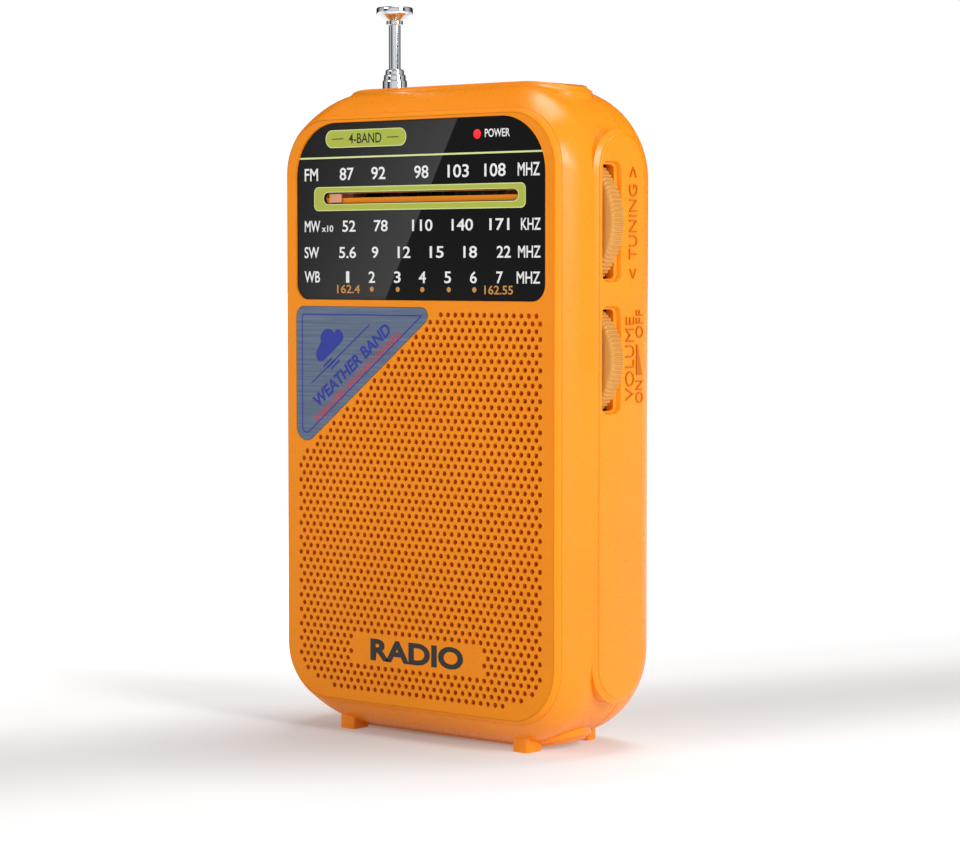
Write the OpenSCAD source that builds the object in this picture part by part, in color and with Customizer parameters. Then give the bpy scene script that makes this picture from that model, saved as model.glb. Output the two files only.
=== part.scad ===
// Pocket radio with a telescopic aerial, a straight-line dial and two thumbwheels.
// X is the width (wheels at +X), the front faces -Y, and Z is up from the floor.

/* [Case] */
// Width of the two shells, without the side pads
body_w = 66.4; // [64:0.1:70]
// Height of the two shells, without plateaus and feet
body_h = 111.8; // [108:0.1:116]
// Depth from the front panel's face to the back face
body_d = 27.2; // [26:0.1:30]
// Corner radius seen from the front
corner_r = 16; // [12:0.5:18]
// Wall thickness of the shells
wall = 1.6; // [1.2:0.1:1.8]
// How far the side pads stand proud of the sides
pad_rise = 0.8; // [0.4:0.1:1.2]
// How far the top and bottom plateaus stand proud
plateau_rise = 0.75; // [0.6:0.05:1.4]
// How far the feet reach below the bottom plateau
foot_drop = 0.35; // [0.2:0.05:1]
// Depth of the front shell's convex bevel
bevel_d = 5.9; // [4:0.1:7]
// Distance from the front face to the seam between the shells
seam_depth = 17.6; // [16.5:0.1:18.5]

/* [Front panel] */
// Width of the raised panel at its foot
panel_w = 62; // [58:0.1:62]
// Height of the raised panel at its foot
panel_h = 103.6; // [98:0.1:104]
// Corner radius of the raised panel
panel_r = 10; // [6:0.5:12]
// Thickness of the raised layer
panel_t = 1; // [0.8:0.1:1.2]
// Width of the chamfer round the raised layer
panel_chamfer = 0.8; // [0.3:0.1:1]

/* [Dial] */
// Width of the black dial window
window_w = 56.4; // [50:0.1:57]
// Height of the dial window
window_h = 30.8; // [26:0.1:32]
// Height of the window's centre above the case centre
window_z = 35; // [33:0.1:35.5]
// How far the window lies below the panel's face
window_recess = 0.45; // [0.2:0.05:0.6]
// Length of the pointer's slot
slot_l = 43.8; // [38:0.1:46]
// Height of the pointer's slot
slot_h = 1.8; // [1.4:0.1:2.2]
// Height of the pointer's slot above the case centre
slot_z = 37.3; // [36.5:0.1:38]

/* [Speaker grille] */
// Diameter of a grille hole
hole_d = 0.92; // [0.7:0.01:1.1]
// Distance between holes along a row
hole_pitch = 1.6; // [1.5:0.05:1.8]
// Distance between rows
row_pitch = 1.29; // [1.2:0.01:1.35]
// Number of rows
rows = 52; // [40:1:52]

/* [Thumbwheels] */
// How far both wheels stand out of the pads
wheel_out = 1.9; // [1:0.1:2.5]
// Radius of the tuning wheel
tuning_r = 12.4; // [11:0.1:12.4]
// Radius of the volume wheel
volume_r = 10.3; // [9:0.1:10.3]
// Thickness of both wheels
wheel_t = 3.4; // [2.8:0.1:3.5]
// Radius at which the dial cord runs round the tuning wheel's drum
drum_r = 7.35; // [7:0.05:7.4]

/* [Aerial] */
// Distance of the aerial from the centre, towards -X
aerial_x = 16.7; // [14:0.1:17]
// Outer diameters of the fixed tube, the two sliding tubes and the tip rod
aerial_d = [4.35, 3.9, 3.3, 2.1];
// How far each sliding section pulls out
aerial_travel = 54; // [40:1:54]

/* [Speaker and batteries] */
// Outer diameter of the speaker
speaker_d = 40; // [36:1:40]
// Diameter of a battery cell
cell_d = 14.2; // [13.8:0.1:14.4]
// Length of a battery cell without its button
cell_l = 49.2; // [49:0.1:50]

/* [Hidden] */
$fn = 64;
CORNER_STEPS = 10; // facets of a rounded corner of the lofted skins
BEVEL_STEPS = 6; // facets across their convex edges
EPS = 0.01; // overlap of a cutter past the face that it opens

case_colour = "#F7941D";
wheel_colour = "#DDA860";
steel = "#C8CCD0";
black = "#141414";

// Planes across the depth
front_y = -body_d / 2;
back_y = body_d / 2;
ring_y = front_y + panel_t; // front face of the front shell, behind the panel
panel_back_y = ring_y + 1; // back of the panel's inner layer
front_wall_y = panel_back_y + 1.2; // inner face of the front shell's front wall
seam_y = front_y + seam_depth;
centre_z = body_h / 2 + plateau_rise + foot_drop;

// Case skin
bevel_w = body_w / 2 - panel_w / 2 - 0.1;
bevel_h = body_h / 2 - panel_h / 2 - 0.1;
back_round_d = 8.5; // depth of the rounding at the back
back_round_w = 7; // how much narrower the back face is on each side
seat_gap = 0.1; // gap of the panel and door in their seats

// Pads and plateaus
pad_l = 94.7; // length of a pad's face
pad_w = 12; // width of a pad's face
pad_slope = 1; // how much wider a pad is at its foot
plateau_l = 49.6;
wheel_y = -3.25; // mid plane of both wheels
slot_w = 3.9; // width of the wheel slots
tuning_slot_l = 19.05;
volume_slot_l = 17;
foot_x = 19.8; // distance of the feet from the centre
foot_w = 3.3;

// Wheels
pad_x = body_w / 2 + pad_rise;
tuning_x = pad_x + wheel_out - tuning_r;
tuning_z = centre_z + 32.8;
volume_x = pad_x + wheel_out - volume_r;
volume_z = centre_z + 9.7;
wheel_front_y = wheel_y - wheel_t / 2;
wheel_back_y = wheel_y + wheel_t / 2;
knurl_pitch = 0.75;
knurl_depth = 0.22;
volume_hub_y = wheel_front_y - 0.65;
shaft_r = 1.5;
run_gap = 0.05; // radial clearance of a running shaft

// Dial cord and pointer
cord_r = 0.25;
cord_y = -6;
cord_z = tuning_z + drum_r; // height of the cord's level top run
drum_front_y = cord_y - 1;
flange_r = drum_r + 0.45;
groove_gap = 0.45; // how much smaller a groove's floor is than the cord's path
pulley_x = -25.5;
pulley_r = 2;
pulley_z = cord_z - pulley_r;
cord_tilt = asin((drum_r - pulley_r) / norm([tuning_x - pulley_x, tuning_z - pulley_z]));
pointer_x = -19.15; // the pointer rests at the low end of the scale
pointer_w = 2.7;
neck_h = 0.5; // height of the pointer's neck behind the window
neck_rise = 0.45; // how far the neck lies above the middle of the slot
rail_y = -9.1;
rail_z = centre_z + 34.2;
rail_r = 0.75;

// Circuit board
board_y = 2.6;
board_t = 1.2;
board_back_y = board_y + board_t;
board_foot_z = 50.5;
board_posts = [[-12, 80], [6, 78]];
ferrite_r = 3.4;
rod_y_place = 7.9;
rod_z_place = 97.5;

// Screws: places relative to the case centre
screw_spots = [[22.5, 48.3], [-22.5, 48.3], [25, -46.5], [-25, -46.5]];
screw_r = 0.95;
thread_r = 1; // hole that a screw cuts its thread in
head_r = 2;
boss_r = 2.5;
head_y = seam_y + 2.2; // where the screw heads seat

// Battery bay and door
bay_x = 30;
bay_z = [16, 47];
bay_y = -2.6;
bay_shoulder_y = 10.5; // behind this plane the bay narrows with the case
bay_back_x = 28.5;
door_w = 52;
door_z = [16, 47];
door_t = 1.6;
hinge_z = door_z[0] + 0.15 + door_t / 2; // the door turns about its rounded lower edge
cell_y = 4.6;
cell_z = [24.3, 39.1];
tab_x = 18;
tab_w = 6;
plate_x = 29.2; // inner face of a spring's contact plate

// Speaker
speaker_z = 35;
speaker_y = panel_back_y + 0.1; // front face of the speaker's flange

// Left-hand side
switch_z = 80.5; // the band switch rests at its lowest of four places
switch_knob_l = 5;
switch_travel = 9;
jack_y = -0.4;
jack_z = 62;
jack_r = 1.8;

// Aerial: heights of the four sections' tops and feet when pushed in
aerial_top_z = [for (rise = [1.8, 2.8, 3.75, 11.55]) centre_z + body_h / 2 + plateau_rise + rise];
aerial_foot_z = [50, 51.5, 53, 54.5];
clip_screw = [-23.2, 54.5]; // X and Z of the screw that holds the aerial's clip

// Weather label: a right triangle whose long side rises to the right.
// Heights here are from the case centre.
label_left = -28.1;
label_top = 18.3;
label_slope = 0.787;
label_tip = [2.4, 16]; // a point on the long side
label_t = 0.25;
label_rounds = [1.8, 1.4, 2.4]; // top left, right tip, foot

// Grille: heights from the case centre
first_row_z = 17.13;
last_rows_reach = [25.6, 23.2, 19.2]; // half lengths of the three shortened bottom rows
name_gap_x = 14.7; // half width of the blank field in the bottom rows
name_gap_z = [-44.3, -38.8];

led_x = 13.3;
led_z = 47.6;

// Distance of a point from the label's long side, positive on the grille's side
function past_label(x, z) =
    (label_slope * (x - label_tip[0]) - (z - label_tip[1])) / norm([1, label_slope]);

// A stretch of a coordinate, given by its two ends' distances from a middle
function around(middle, ends) = [middle + ends[0], middle + ends[1]];

// ---------- helpers ----------

module block(x, y, z) {
    translate([x[0], y[0], z[0]]) cube([x[1] - x[0], y[1] - y[0], z[1] - z[0]]);
}

// A cylinder along X, Y or Z from one plane to another
module rod_x(x, y, z, r) {
    translate([x[0], y, z]) rotate([0, 90, 0]) cylinder(r = r, h = x[1] - x[0]);
}
module rod_y(x, y, z, r) {
    translate([x, y[0], z]) rotate([-90, 0, 0]) cylinder(r = r, h = y[1] - y[0]);
}
module rod_z(x, y, z, r) {
    translate([x, y, z[0]]) cylinder(r = r, h = z[1] - z[0]);
}

// Extrudes a drawing of the front view between two planes across the depth
module front_plate(y) {
    translate([0, y[1], 0]) rotate([90, 0, 0]) linear_extrude(y[1] - y[0]) children();
}

// Turns a profile of radius and depth about a line along Y
module turned_y(x, z) {
    translate([x, 0, z]) rotate([-90, 0, 0]) rotate_extrude() children();
}

module rounded_rect(w, h, r) {
    square([w - 2 * r, h], center = true);
    square([w, h - 2 * r], center = true);
    for (sx = [-1, 1], sy = [-1, 1])
        translate([sx * (w / 2 - r), sy * (h / 2 - r)]) circle(r);
}

module stadium(l, w) {
    square([l - w, w], center = true);
    for (s = [-1, 1]) translate([s * (l - w) / 2, 0]) circle(w / 2);
}

// ---------- case shells ----------

// Points of a rounded rectangle: always the same number, so that two sizes can be lofted
function rounded_ring(w, h, r) = [
    for (quarter = [0 : 3], i = [0 : CORNER_STEPS])
        let (
            a = 90 * (quarter + i / CORNER_STEPS),
            side = quarter == 0 || quarter == 3 ? 1 : -1,
            end = quarter < 2 ? 1 : -1
        )
        [side * (w / 2 - r) + r * cos(a), end * (h / 2 - r) + r * sin(a)]
];

// A solid through a row of rings, or round a closed loop of them.
// A ring runs anticlockwise, seen along the row.
module loft(rings, closed = false) {
    n = len(rings[0]);
    count = len(rings) * n;
    last = count - n;
    sides = [
        for (k = [0 : n : closed ? last : last - n], i = [0 : n - 1])
            let (j = (i + 1) % n, next = (k + n) % count)
            each [[k + i, k + j, next + j], [k + i, next + j, next + i]]
    ];
    caps = closed ? [] : [
        for (i = [1 : n - 2])
            each [[0, i + 1, i], [last, last + i, last + i + 1]]
    ];
    polyhedron(points = [for (ring = rings) each ring], faces = concat(sides, caps));
}

function case_ring(y, shrink_w, shrink_h, shrink_r) = [
    for (p = rounded_ring(body_w - 2 * shrink_w, body_h - 2 * shrink_h, corner_r - shrink_r))
        [p[0], y, centre_z + p[1]]
];

// The convex front half, made smaller all round by inset, starting at start_y and ending at end_y
module front_skin(inset, start_y, end_y) {
    bevel = [
        for (u = [0 : 1 / BEVEL_STEPS : 1.001])
            let (k = pow(max(1 - u, 0), 1.8))
            case_ring(start_y + u * bevel_d, bevel_w * k + inset, bevel_h * k + inset,
                (corner_r - panel_r) * k + inset)
    ];
    loft(concat(bevel, [case_ring(end_y, inset, inset, inset)]));
}

module back_skin(inset, start_y) {
    round_y = back_y - back_round_d;
    rounding = [
        for (v = [0 : 1 / BEVEL_STEPS : 1.001])
            let (k = back_round_w * (1 - sqrt(max(1 - v * v, 0))) + inset)
            case_ring(round_y + v * (back_round_d - inset), k, k, k)
    ];
    loft(concat([case_ring(start_y, inset, inset, inset)], rounding));
}

// A raised field: length l along Z and width pad_w along Y, rising along X from the levels given
module raised_field(l, foot, face, grow) {
    spread = pad_slope + grow;
    loft([
        for (level = [[foot - 4, spread], [foot, spread], [face, grow]])
            let (w = pad_w + 2 * level[1])
            [for (p = rounded_ring(l + 2 * level[1], w, w / 2 - 0.05)) [level[0], p[1], p[0]]]
    ]);
}

// Long raised pads on the sides, and raised plateaus on the top and the bottom
module side_pad(side, grow) {
    translate([0, 0, centre_z]) mirror([side < 0 ? 1 : 0, 0, 0])
        raised_field(pad_l, body_w / 2, pad_x, grow);
}
module end_plateau(side, grow) {
    translate([0, 0, centre_z]) rotate([0, -90 * side, 0])
        raised_field(plateau_l, body_h / 2, body_h / 2 + plateau_rise, grow);
}

module pads(grow) {
    for (side = [-1, 1]) side_pad(side, grow);
    for (side = [-1, 1]) end_plateau(side, grow);
}

// Half width of the middle of the side wall at a height above or below the case centre
function wall_mid_x(z) = body_w / 2 - corner_r
    + sqrt(pow(corner_r - wall / 2, 2) - pow(max(abs(z) - (body_h / 2 - corner_r), 0), 2));

module front_shell() {
    color(case_colour)
    difference() {
        union() {
            difference() {
                union() {
                    front_skin(0, ring_y, seam_y);
                    pads(0);
                }
                front_skin(wall, front_wall_y, seam_y + 6);
            }
            for (spot = screw_spots) screw_boss(spot);
            for (post = board_posts)
                rod_y(post[0], [front_wall_y - 0.4, board_y], post[1], 2.2);
            for (side = [-1, 1])
                block(around(side * foot_x, [-foot_w / 2, foot_w / 2]), [-9.7, -5.5], [0, 2.8]);
        }
        front_openings();
        side_openings();
        for (spot = screw_spots)
            rod_y(spot[0], [-6, seam_y + 1], centre_z + spot[1], thread_r);
        for (post = board_posts)
            rod_y(post[0], [-4, board_y + 1], post[1], thread_r);
    }
}

// A post for a case screw, with a web to the side wall
module screw_boss(spot) {
    ends = [abs(spot[0]), wall_mid_x(spot[1])] * sign(spot[0]);
    rod_y(spot[0], [front_wall_y - 0.4, seam_y], centre_z + spot[1], boss_r);
    block([min(ends), max(ends)], [-8, seam_y - 3], around(centre_z + spot[1], [-0.6, 0.6]));
}

// The panel's seat, the dial opening, the grille opening and the lamp's hole
module front_openings() {
    translate([0, 0, centre_z]) {
        front_plate([ring_y - 1, panel_back_y])
            rounded_rect(panel_w - 2 + 2 * seat_gap, panel_h - 2 + 2 * seat_gap, panel_r - 1);
        front_plate([panel_back_y - 0.1, front_wall_y + 1])
            translate([0, 37.65]) rounded_rect(57.2, 12.7, 1.5);
        front_plate([panel_back_y - 0.1, front_wall_y + 1])
            translate([0, -16.15]) rounded_rect(56.4, 68.1, 8.6);
        rod_y(led_x, [panel_back_y - 0.1, front_wall_y + 1], led_z, 1.65);
    }
}

module wheel_well(x, z, r, slot_l) {
    rod_y(x, around(wheel_y, [-slot_w / 2, slot_w / 2]), z, r + 0.5);
    block([30, pad_x + 1], around(wheel_y, [-slot_w / 2, slot_w / 2]), around(z, [-slot_l / 2, slot_l / 2]));
}

module side_openings() {
    knob_room = switch_knob_l / 2 + 0.3;
    wheel_well(tuning_x, tuning_z, tuning_r, tuning_slot_l);
    wheel_well(volume_x, volume_z, volume_r, volume_slot_l);
    rod_y(tuning_x, [drum_front_y - 0.4, wheel_y], tuning_z, flange_r + 0.35);
    block([-pad_x - 1, -30], [-1.6, 1.6], around(switch_z, [-knob_room, switch_travel + knob_room]));
    rod_x([-pad_x - 1, -30], jack_y, jack_z, 3.05);
    rod_z(-aerial_x, 0, around(centre_z + body_h / 2, [-3, 3]), aerial_d[0] / 2 + 0.02);
}

module back_shell() {
    color(case_colour)
    difference() {
        union() {
            difference() {
                back_skin(0, seam_y);
                difference() {
                    back_skin(wall, seam_y - 1);
                    for (spot = screw_spots)
                        rod_y(spot[0], [seam_y, back_y], centre_z + spot[1], boss_r + 0.8);
                }
            }
            locating_lip();
            battery_bay_walls();
            for (side = [-1, 1])
                block(around(side * foot_x, [-foot_w / 2, foot_w / 2]), [7.2, 9.7], [0, 3.6]);
        }
        pads(0);
        block([-door_w / 2, door_w / 2], [back_y - door_t - EPS, back_y + 1], door_z);
        block([-bay_x, bay_x], [bay_y, bay_shoulder_y], bay_z);
        block([-bay_back_x, bay_back_x], [bay_y, back_y - door_t], bay_z);
        for (side = [-1, 1])
            block(around(side * tab_x, [-tab_w / 2 - 0.4, tab_w / 2 + 0.4]), [7, back_y - door_t], [12.6, 17]);
        for (y = [[-1.9, -0.5], [1.4, 2.7]])
            block([plate_x - 0.1, plate_x + 0.5], y, [bay_z[1] - 0.1, bay_z[1] + 1.1]);
        for (spot = screw_spots) {
            rod_y(spot[0], [seam_y - 1, back_y + 1], centre_z + spot[1], screw_r + 0.2);
            rod_y(spot[0], [head_y, back_y + 1], centre_z + spot[1], head_r + 0.3);
        }
    }
}

// A thin ring that goes inside the front shell and lines the two shells up
module locating_lip() {
    inner_w = body_w - 2 * wall;
    inner_h = body_h - 2 * wall;
    translate([0, 0, centre_z]) front_plate([seam_y - 1.2, seam_y + 0.8])
        difference() {
            rounded_rect(inner_w - 0.3, inner_h - 0.3, corner_r - wall);
            rounded_rect(inner_w - 1.9, inner_h - 1.9, corner_r - wall - 0.8);
        }
    front_plate([seam_y, seam_y + 0.8]) translate([0, centre_z])
        difference() {
            rounded_rect(inner_w + 0.8, inner_h + 0.8, corner_r - wall);
            rounded_rect(inner_w - 1.9, inner_h - 1.9, corner_r - wall - 0.8);
        }
}

module battery_bay_walls() {
    block([-bay_x - 1, bay_x + 1], [bay_y - 1, bay_shoulder_y + 0.3], bay_z + [-1, 1]);
    block([-bay_back_x, bay_back_x], [bay_y - 1, back_y - wall], bay_z + [-1, 1]);
}

// ---------- front panel ----------

module window_outline(grow) {
    w = window_w / 2 + grow;
    low = window_z - window_h / 2 - grow;
    high = window_z + window_h / 2 + grow;
    hull()
        for (c = [[-w, low, 2.7], [w, low, 2.7], [-w, high, 9.4], [w, high, 9.4]])
            translate([c[0] - sign(c[0]) * c[2], c[1] + (c[1] == low ? c[2] : -c[2])]) circle(c[2]);
}

module label_outline(grow) {
    top_left = label_rounds[0];
    hull() {
        translate([label_left + top_left, label_top - top_left]) circle(top_left + grow, $fn = 32);
        for (r = [label_rounds[1]])
            translate([label_round_x(label_top - r, r), label_top - r]) circle(r + grow, $fn = 32);
        for (r = [label_rounds[2]])
            translate([label_left + r, label_round_z(label_left + r, r)]) circle(r + grow, $fn = 32);
    }
}

// Centre of a round that touches the label's long side from inside
function label_round_x(z, r) = label_tip[0] + (z - label_tip[1] - r * norm([1, label_slope])) / label_slope;
function label_round_z(x, r) = label_tip[1] + label_slope * (x - label_tip[0]) + r * norm([1, label_slope]);

module slot_outline() {
    translate([0.2, slot_z]) stadium(slot_l, slot_h);
}

// The narrower slot behind it, for the neck of the pointer
module neck_slot() {
    translate([0.2, slot_z + neck_rise]) stadium(slot_l, neck_h + 0.3);
}

function row_z(row) = first_row_z - row * row_pitch;
function row_reach(row) = row < rows - 3
    ? (row % 2 == 0 ? 16.5 : 17) * hole_pitch
    : last_rows_reach[row - rows + 3];
function in_name_gap(x, z) = abs(x) < name_gap_x && z > name_gap_z[0] && z < name_gap_z[1];

// Only the holes in front of the cone go through; the others are shallow dimples, too fine for
// this model, which has none of them
function open_to_speaker(x, z) = norm([x, z - speaker_z + centre_z]) < speaker_d / 2 - 2;

module grille_holes() {
    for (row = [0 : rows - 1])
        for (i = [-17 : 17]) {
            x = (i + (row % 2 == 0 ? 0.5 : 0)) * hole_pitch;
            z = row_z(row);
            if (open_to_speaker(x, z) && abs(x) < row_reach(row) + 0.01
                && past_label(x, z) > 0.25 && !in_name_gap(x, z))
                translate([x, z]) circle(d = hole_d, $fn = 16);
        }
}

module front_panel() {
    color(case_colour)
    difference() {
        union() {
            translate([0, 0, centre_z]) {
                panel_face_layer();
                panel_inner_layer();
            }
            panel_fittings();
        }
        rod_y(led_x, [front_y - 1, -9], centre_z + led_z, 0.85);
        rod_x([-28, 28], rail_y, rail_z, rail_r);
        rod_y(pulley_x, [-11, -7], pulley_z, 0.75);
    }
}

function panel_shrink(case_size, panel_size) = (case_size - panel_size) / 2;

// The outer, chamfered layer with the window opening, the label's recess and the grille
module panel_face_layer() {
    intersection() {
        difference() {
            front_plate([front_y - 1, ring_y]) difference() {
                square([panel_w + 2, panel_h + 2], center = true);
                window_outline(0.1);
                grille_holes();
            }
            front_plate([front_y - 1, front_y + label_t + 0.02]) label_outline(0.08);
        }
        translate([0, 0, -centre_z]) loft([
            case_ring(front_y, panel_shrink(body_w, panel_w) + panel_chamfer,
                panel_shrink(body_h, panel_h) + panel_chamfer, corner_r - panel_r + panel_chamfer),
            case_ring(ring_y, panel_shrink(body_w, panel_w), panel_shrink(body_h, panel_h), corner_r - panel_r)
        ]);
    }
}

// The inner layer: a rim in the front shell's seat, and the backing of the dial window
module panel_inner_layer() {
    front_plate([ring_y, panel_back_y]) difference() {
        rounded_rect(panel_w - 2, panel_h - 2, panel_r - 1);
        translate([0, -16.15]) rounded_rect(56.6, 68.3, 8.7);
        neck_slot();
    }
}

// Rail posts, the pulley's post and the ring that centres the speaker
module panel_fittings() {
    for (side = [-1, 1])
        block(around(side * 27.2, [-1, 1]), [panel_back_y - 0.2, rail_y + 1.1], around(rail_z, [-1.5, 1.5]));
    rod_y(pulley_x, [panel_back_y - 0.2, -7.7], pulley_z, 2);
    turned_y(0, speaker_z)
        translate([speaker_d / 2 + 0.15, speaker_y + 0.1]) square([2.2, 1]);
    for (side = [-1, 1]) {
        block(around(side * 25.1, [-3, 3]), [ring_y, speaker_y + 1], around(speaker_z, [-1, 1]));
        block(around(side * 28.4, [-0.5, 0.5]), [ring_y, panel_back_y], around(speaker_z, [-1, 1]));
    }
}

module dial_window() {
    color(black)
    translate([0, 0, centre_z]) front_plate([front_y + window_recess, ring_y]) difference() {
        window_outline(0);
        slot_outline();
        translate([led_x, led_z]) circle(0.85);
    }
}

module weather_label() {
    color("#6E7A86")
    translate([0, 0, centre_z]) front_plate([front_y, front_y + label_t]) label_outline(0);
}

// ---------- battery door and case screws ----------

module battery_door() {
    span = [0.1 - door_w / 2, door_w / 2 - 0.1];
    color(case_colour)
    difference() {
        union() {
            block(span, [back_y - door_t, back_y], [hinge_z, door_z[1] - 0.15]);
            rod_x(span, back_y - door_t / 2, hinge_z, door_t / 2);
            for (side = [-1, 1]) {
                x = around(side * tab_x, [-tab_w / 2, tab_w / 2]);
                block(x, [10.9, 11.9], [13.3, 18.5]);
                block(x, [11.8, 12.1], [hinge_z, 18.5]);
            }
        }
        for (side = [-1, 1])
            block(around(side * 6, [-0.35, 0.35]), [11, back_y + 1], [38, 48]);
        for (i = [0 : 4])
            block([-4.5, 4.5], [back_y - 0.35, back_y + 1], around(39.5 + 1.4 * i, [-0.3, 0.3]));
    }
}

module case_screws() {
    color(steel)
    for (spot = screw_spots) {
        rod_y(spot[0], [-5.5, head_y + 0.1], centre_z + spot[1], screw_r);
        rod_y(spot[0], [head_y, head_y + 1.5], centre_z + spot[1], head_r);
    }
}

// ---------- dial drive ----------

module dial_pointer() {
    color("#E8907C")
    translate([pointer_x, 0, 0])
    difference() {
        union() {
            block([-pointer_w / 2, pointer_w / 2], [front_y + 0.5, ring_y - 0.08],
                around(centre_z + slot_z, [-slot_h / 2 + 0.15, slot_h / 2 - 0.15]));
            block([-1, 1], [front_y + 0.6, -10.8],
                around(centre_z + slot_z + neck_rise, [-neck_h / 2, neck_h / 2]));
            block([-2.2, 2.2], [-10.9, -7.4], [rail_z - 1.8, cord_z + 1.25]);
            block([-2.2, -1], [-7.5, -5.25], [cord_z - 0.95, cord_z + 1.25]);
        }
        rod_x([-3, 3], rail_y, rail_z, rail_r + run_gap);
        rod_x([-3, 3], cord_y, cord_z, cord_r + 0.3);
    }
}

module pointer_rail() {
    color(steel) rod_x([-28, 28], rail_y, rail_z, rail_r);
}

// Rings of cord round an arc of a pulley
function cord_rings(x, z, r, start, turn) = [
    for (i = [0 : 14])
        let (a = start + turn * i / 14)
        [for (b = [0 : 45 : 315]) [
            x + (r + cord_r * cos(b)) * cos(a),
            cord_y - cord_r * sin(b),
            z + (r + cord_r * cos(b)) * sin(a)
        ]]
];

// An endless loop round the drum and the pulley
module dial_cord() {
    low_angle = -90 - 2 * cord_tilt;
    color("#E8E4D8")
    loft(concat(
        cord_rings(tuning_x, tuning_z, drum_r, low_angle, 180 + 2 * cord_tilt),
        cord_rings(pulley_x, pulley_z, pulley_r, 90, 180 - 2 * cord_tilt)
    ), true);
}

module cord_pulley() {
    color("#F0EEE6")
    difference() {
        union() {
            rod_y(pulley_x, around(cord_y, [-0.9, 0.9]), pulley_z, pulley_r - groove_gap);
            rod_y(pulley_x, around(cord_y, [-0.9, -0.5]), pulley_z, pulley_r + 0.5);
            rod_y(pulley_x, around(cord_y, [0.5, 0.9]), pulley_z, pulley_r + 0.5);
        }
        rod_y(pulley_x, around(cord_y, [-1, 1]), pulley_z, rail_r + run_gap);
    }
}

module pulley_pin() {
    color(steel) {
        rod_y(pulley_x, [-11, -4.7], pulley_z, rail_r);
        rod_y(pulley_x, [-4.9, -4.4], pulley_z, 1.3);
    }
}

// ---------- thumbwheels ----------

// A round outline with fine teeth round its edge
module knurled(r) {
    teeth = round(2 * PI * r / knurl_pitch);
    polygon([for (i = [0 : 2 * teeth - 1]) (i % 2 == 0 ? r : r - knurl_depth)
        * [cos(180 * i / teeth), sin(180 * i / teeth)]]);
}

// The knurled disc, bored for its shaft, with a recess for the screw head in its front
module thumbwheel(x, z, r, hub_y) {
    color(wheel_colour)
    difference() {
        union() {
            front_plate([wheel_front_y, wheel_back_y]) translate([x, z]) knurled(r);
            children();
        }
        rod_y(x, [hub_y - 1, wheel_back_y + 1], z, shaft_r);
        rod_y(x, [hub_y - 1, hub_y + 0.8], z, 2.4);
    }
}

module wheel_shaft(x, z, hub_y) {
    color(steel)
    difference() {
        rod_y(x, [hub_y + 0.8, board_y - 0.6], z, shaft_r);
        rod_y(x, [hub_y, hub_y + 4], z, 0.8);
    }
}

module wheel_screw(x, z, hub_y) {
    color(steel) {
        rod_y(x, [hub_y + 0.05, hub_y + 0.8], z, 2.2);
        rod_y(x, [hub_y + 0.7, hub_y + 3.5], z, 0.75);
    }
}

module potentiometer(x, z, r) {
    color("#3A3A3A")
    difference() {
        union() {
            rod_y(x, [wheel_back_y + 0.35, board_y], z, r);
            for (i = [-1 : 1])
                block(around(x + 2.5 * i, [-0.5, 0.5]), [board_y - 1, board_y], [z - r - 1.6, z - r + 1]);
        }
        rod_y(x, [wheel_back_y, board_y - 0.5], z, shaft_r + run_gap);
    }
}

module tuning_wheel() {
    thumbwheel(tuning_x, tuning_z, tuning_r, drum_front_y) {
        rod_y(tuning_x, [drum_front_y, wheel_front_y + 0.1], tuning_z, drum_r - groove_gap);
        rod_y(tuning_x, [drum_front_y, drum_front_y + 0.5], tuning_z, flange_r);
        rod_y(tuning_x, [cord_y + 0.5, wheel_front_y + 0.1], tuning_z, flange_r);
    }
}
module tuning_shaft() { wheel_shaft(tuning_x, tuning_z, drum_front_y); }
module tuning_wheel_screw() { wheel_screw(tuning_x, tuning_z, drum_front_y); }
module tuning_potentiometer() { potentiometer(tuning_x, tuning_z, 7); }

module volume_wheel() {
    thumbwheel(volume_x, volume_z, volume_r, volume_hub_y)
        rod_y(volume_x, [volume_hub_y, wheel_front_y + 0.1], volume_z, 4);
}
module volume_shaft() { wheel_shaft(volume_x, volume_z, volume_hub_y); }
module volume_wheel_screw() { wheel_screw(volume_x, volume_z, volume_hub_y); }
module volume_potentiometer() { potentiometer(volume_x, volume_z, 5.6); }

// ---------- circuit board ----------

module circuit_board() {
    color("#1F6B3A")
    difference() {
        front_plate([board_y, board_back_y]) intersection() {
            translate([0, centre_z]) rounded_rect(60.4, 105.6, 13.2);
            translate([-40, board_foot_z]) square([80, 80]);
        }
        for (spot = screw_spots)
            rod_y(spot[0], [board_y - 1, board_back_y + 1], centre_z + spot[1], boss_r + 0.4);
        for (post = board_posts)
            rod_y(post[0], [board_y - 1, board_back_y + 1], post[1], screw_r + 0.2);
        rod_y(clip_screw[0], [board_y - 1, board_back_y + 1], clip_screw[1], screw_r + 0.05);
    }
}

module board_screws() {
    color(steel)
    for (post = board_posts) {
        rod_y(post[0], [-3, board_back_y + 0.1], post[1], screw_r);
        rod_y(post[0], [board_back_y, board_back_y + 1.2], post[1], head_r);
    }
}

// A moulded chip on the back of the board with leads along its two long sides
module chip(x, z, size, leads) {
    color(black)
        block(around(x, [-size[0] / 2, size[0] / 2]), around(board_back_y, [0.1, size[2]]), around(z, [-size[1] / 2, size[1] / 2]));
    color(steel)
    for (i = [0 : leads / 2 - 1], side = [-1, 1])
        block(around(x + (i - (leads / 2 - 1) / 2) * 1.27, [-0.2, 0.2]), around(board_back_y, [0, 0.6]),
            around(z + side * (size[1] / 2 + 0.55), [-0.65, 0.65]));
}
module tuner_chip() { chip(0, 66, [15.4, 7.5, 2.4], 24); }
module amplifier_chip() { chip(12, 55.5, [5, 4, 1.6], 8); }

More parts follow.
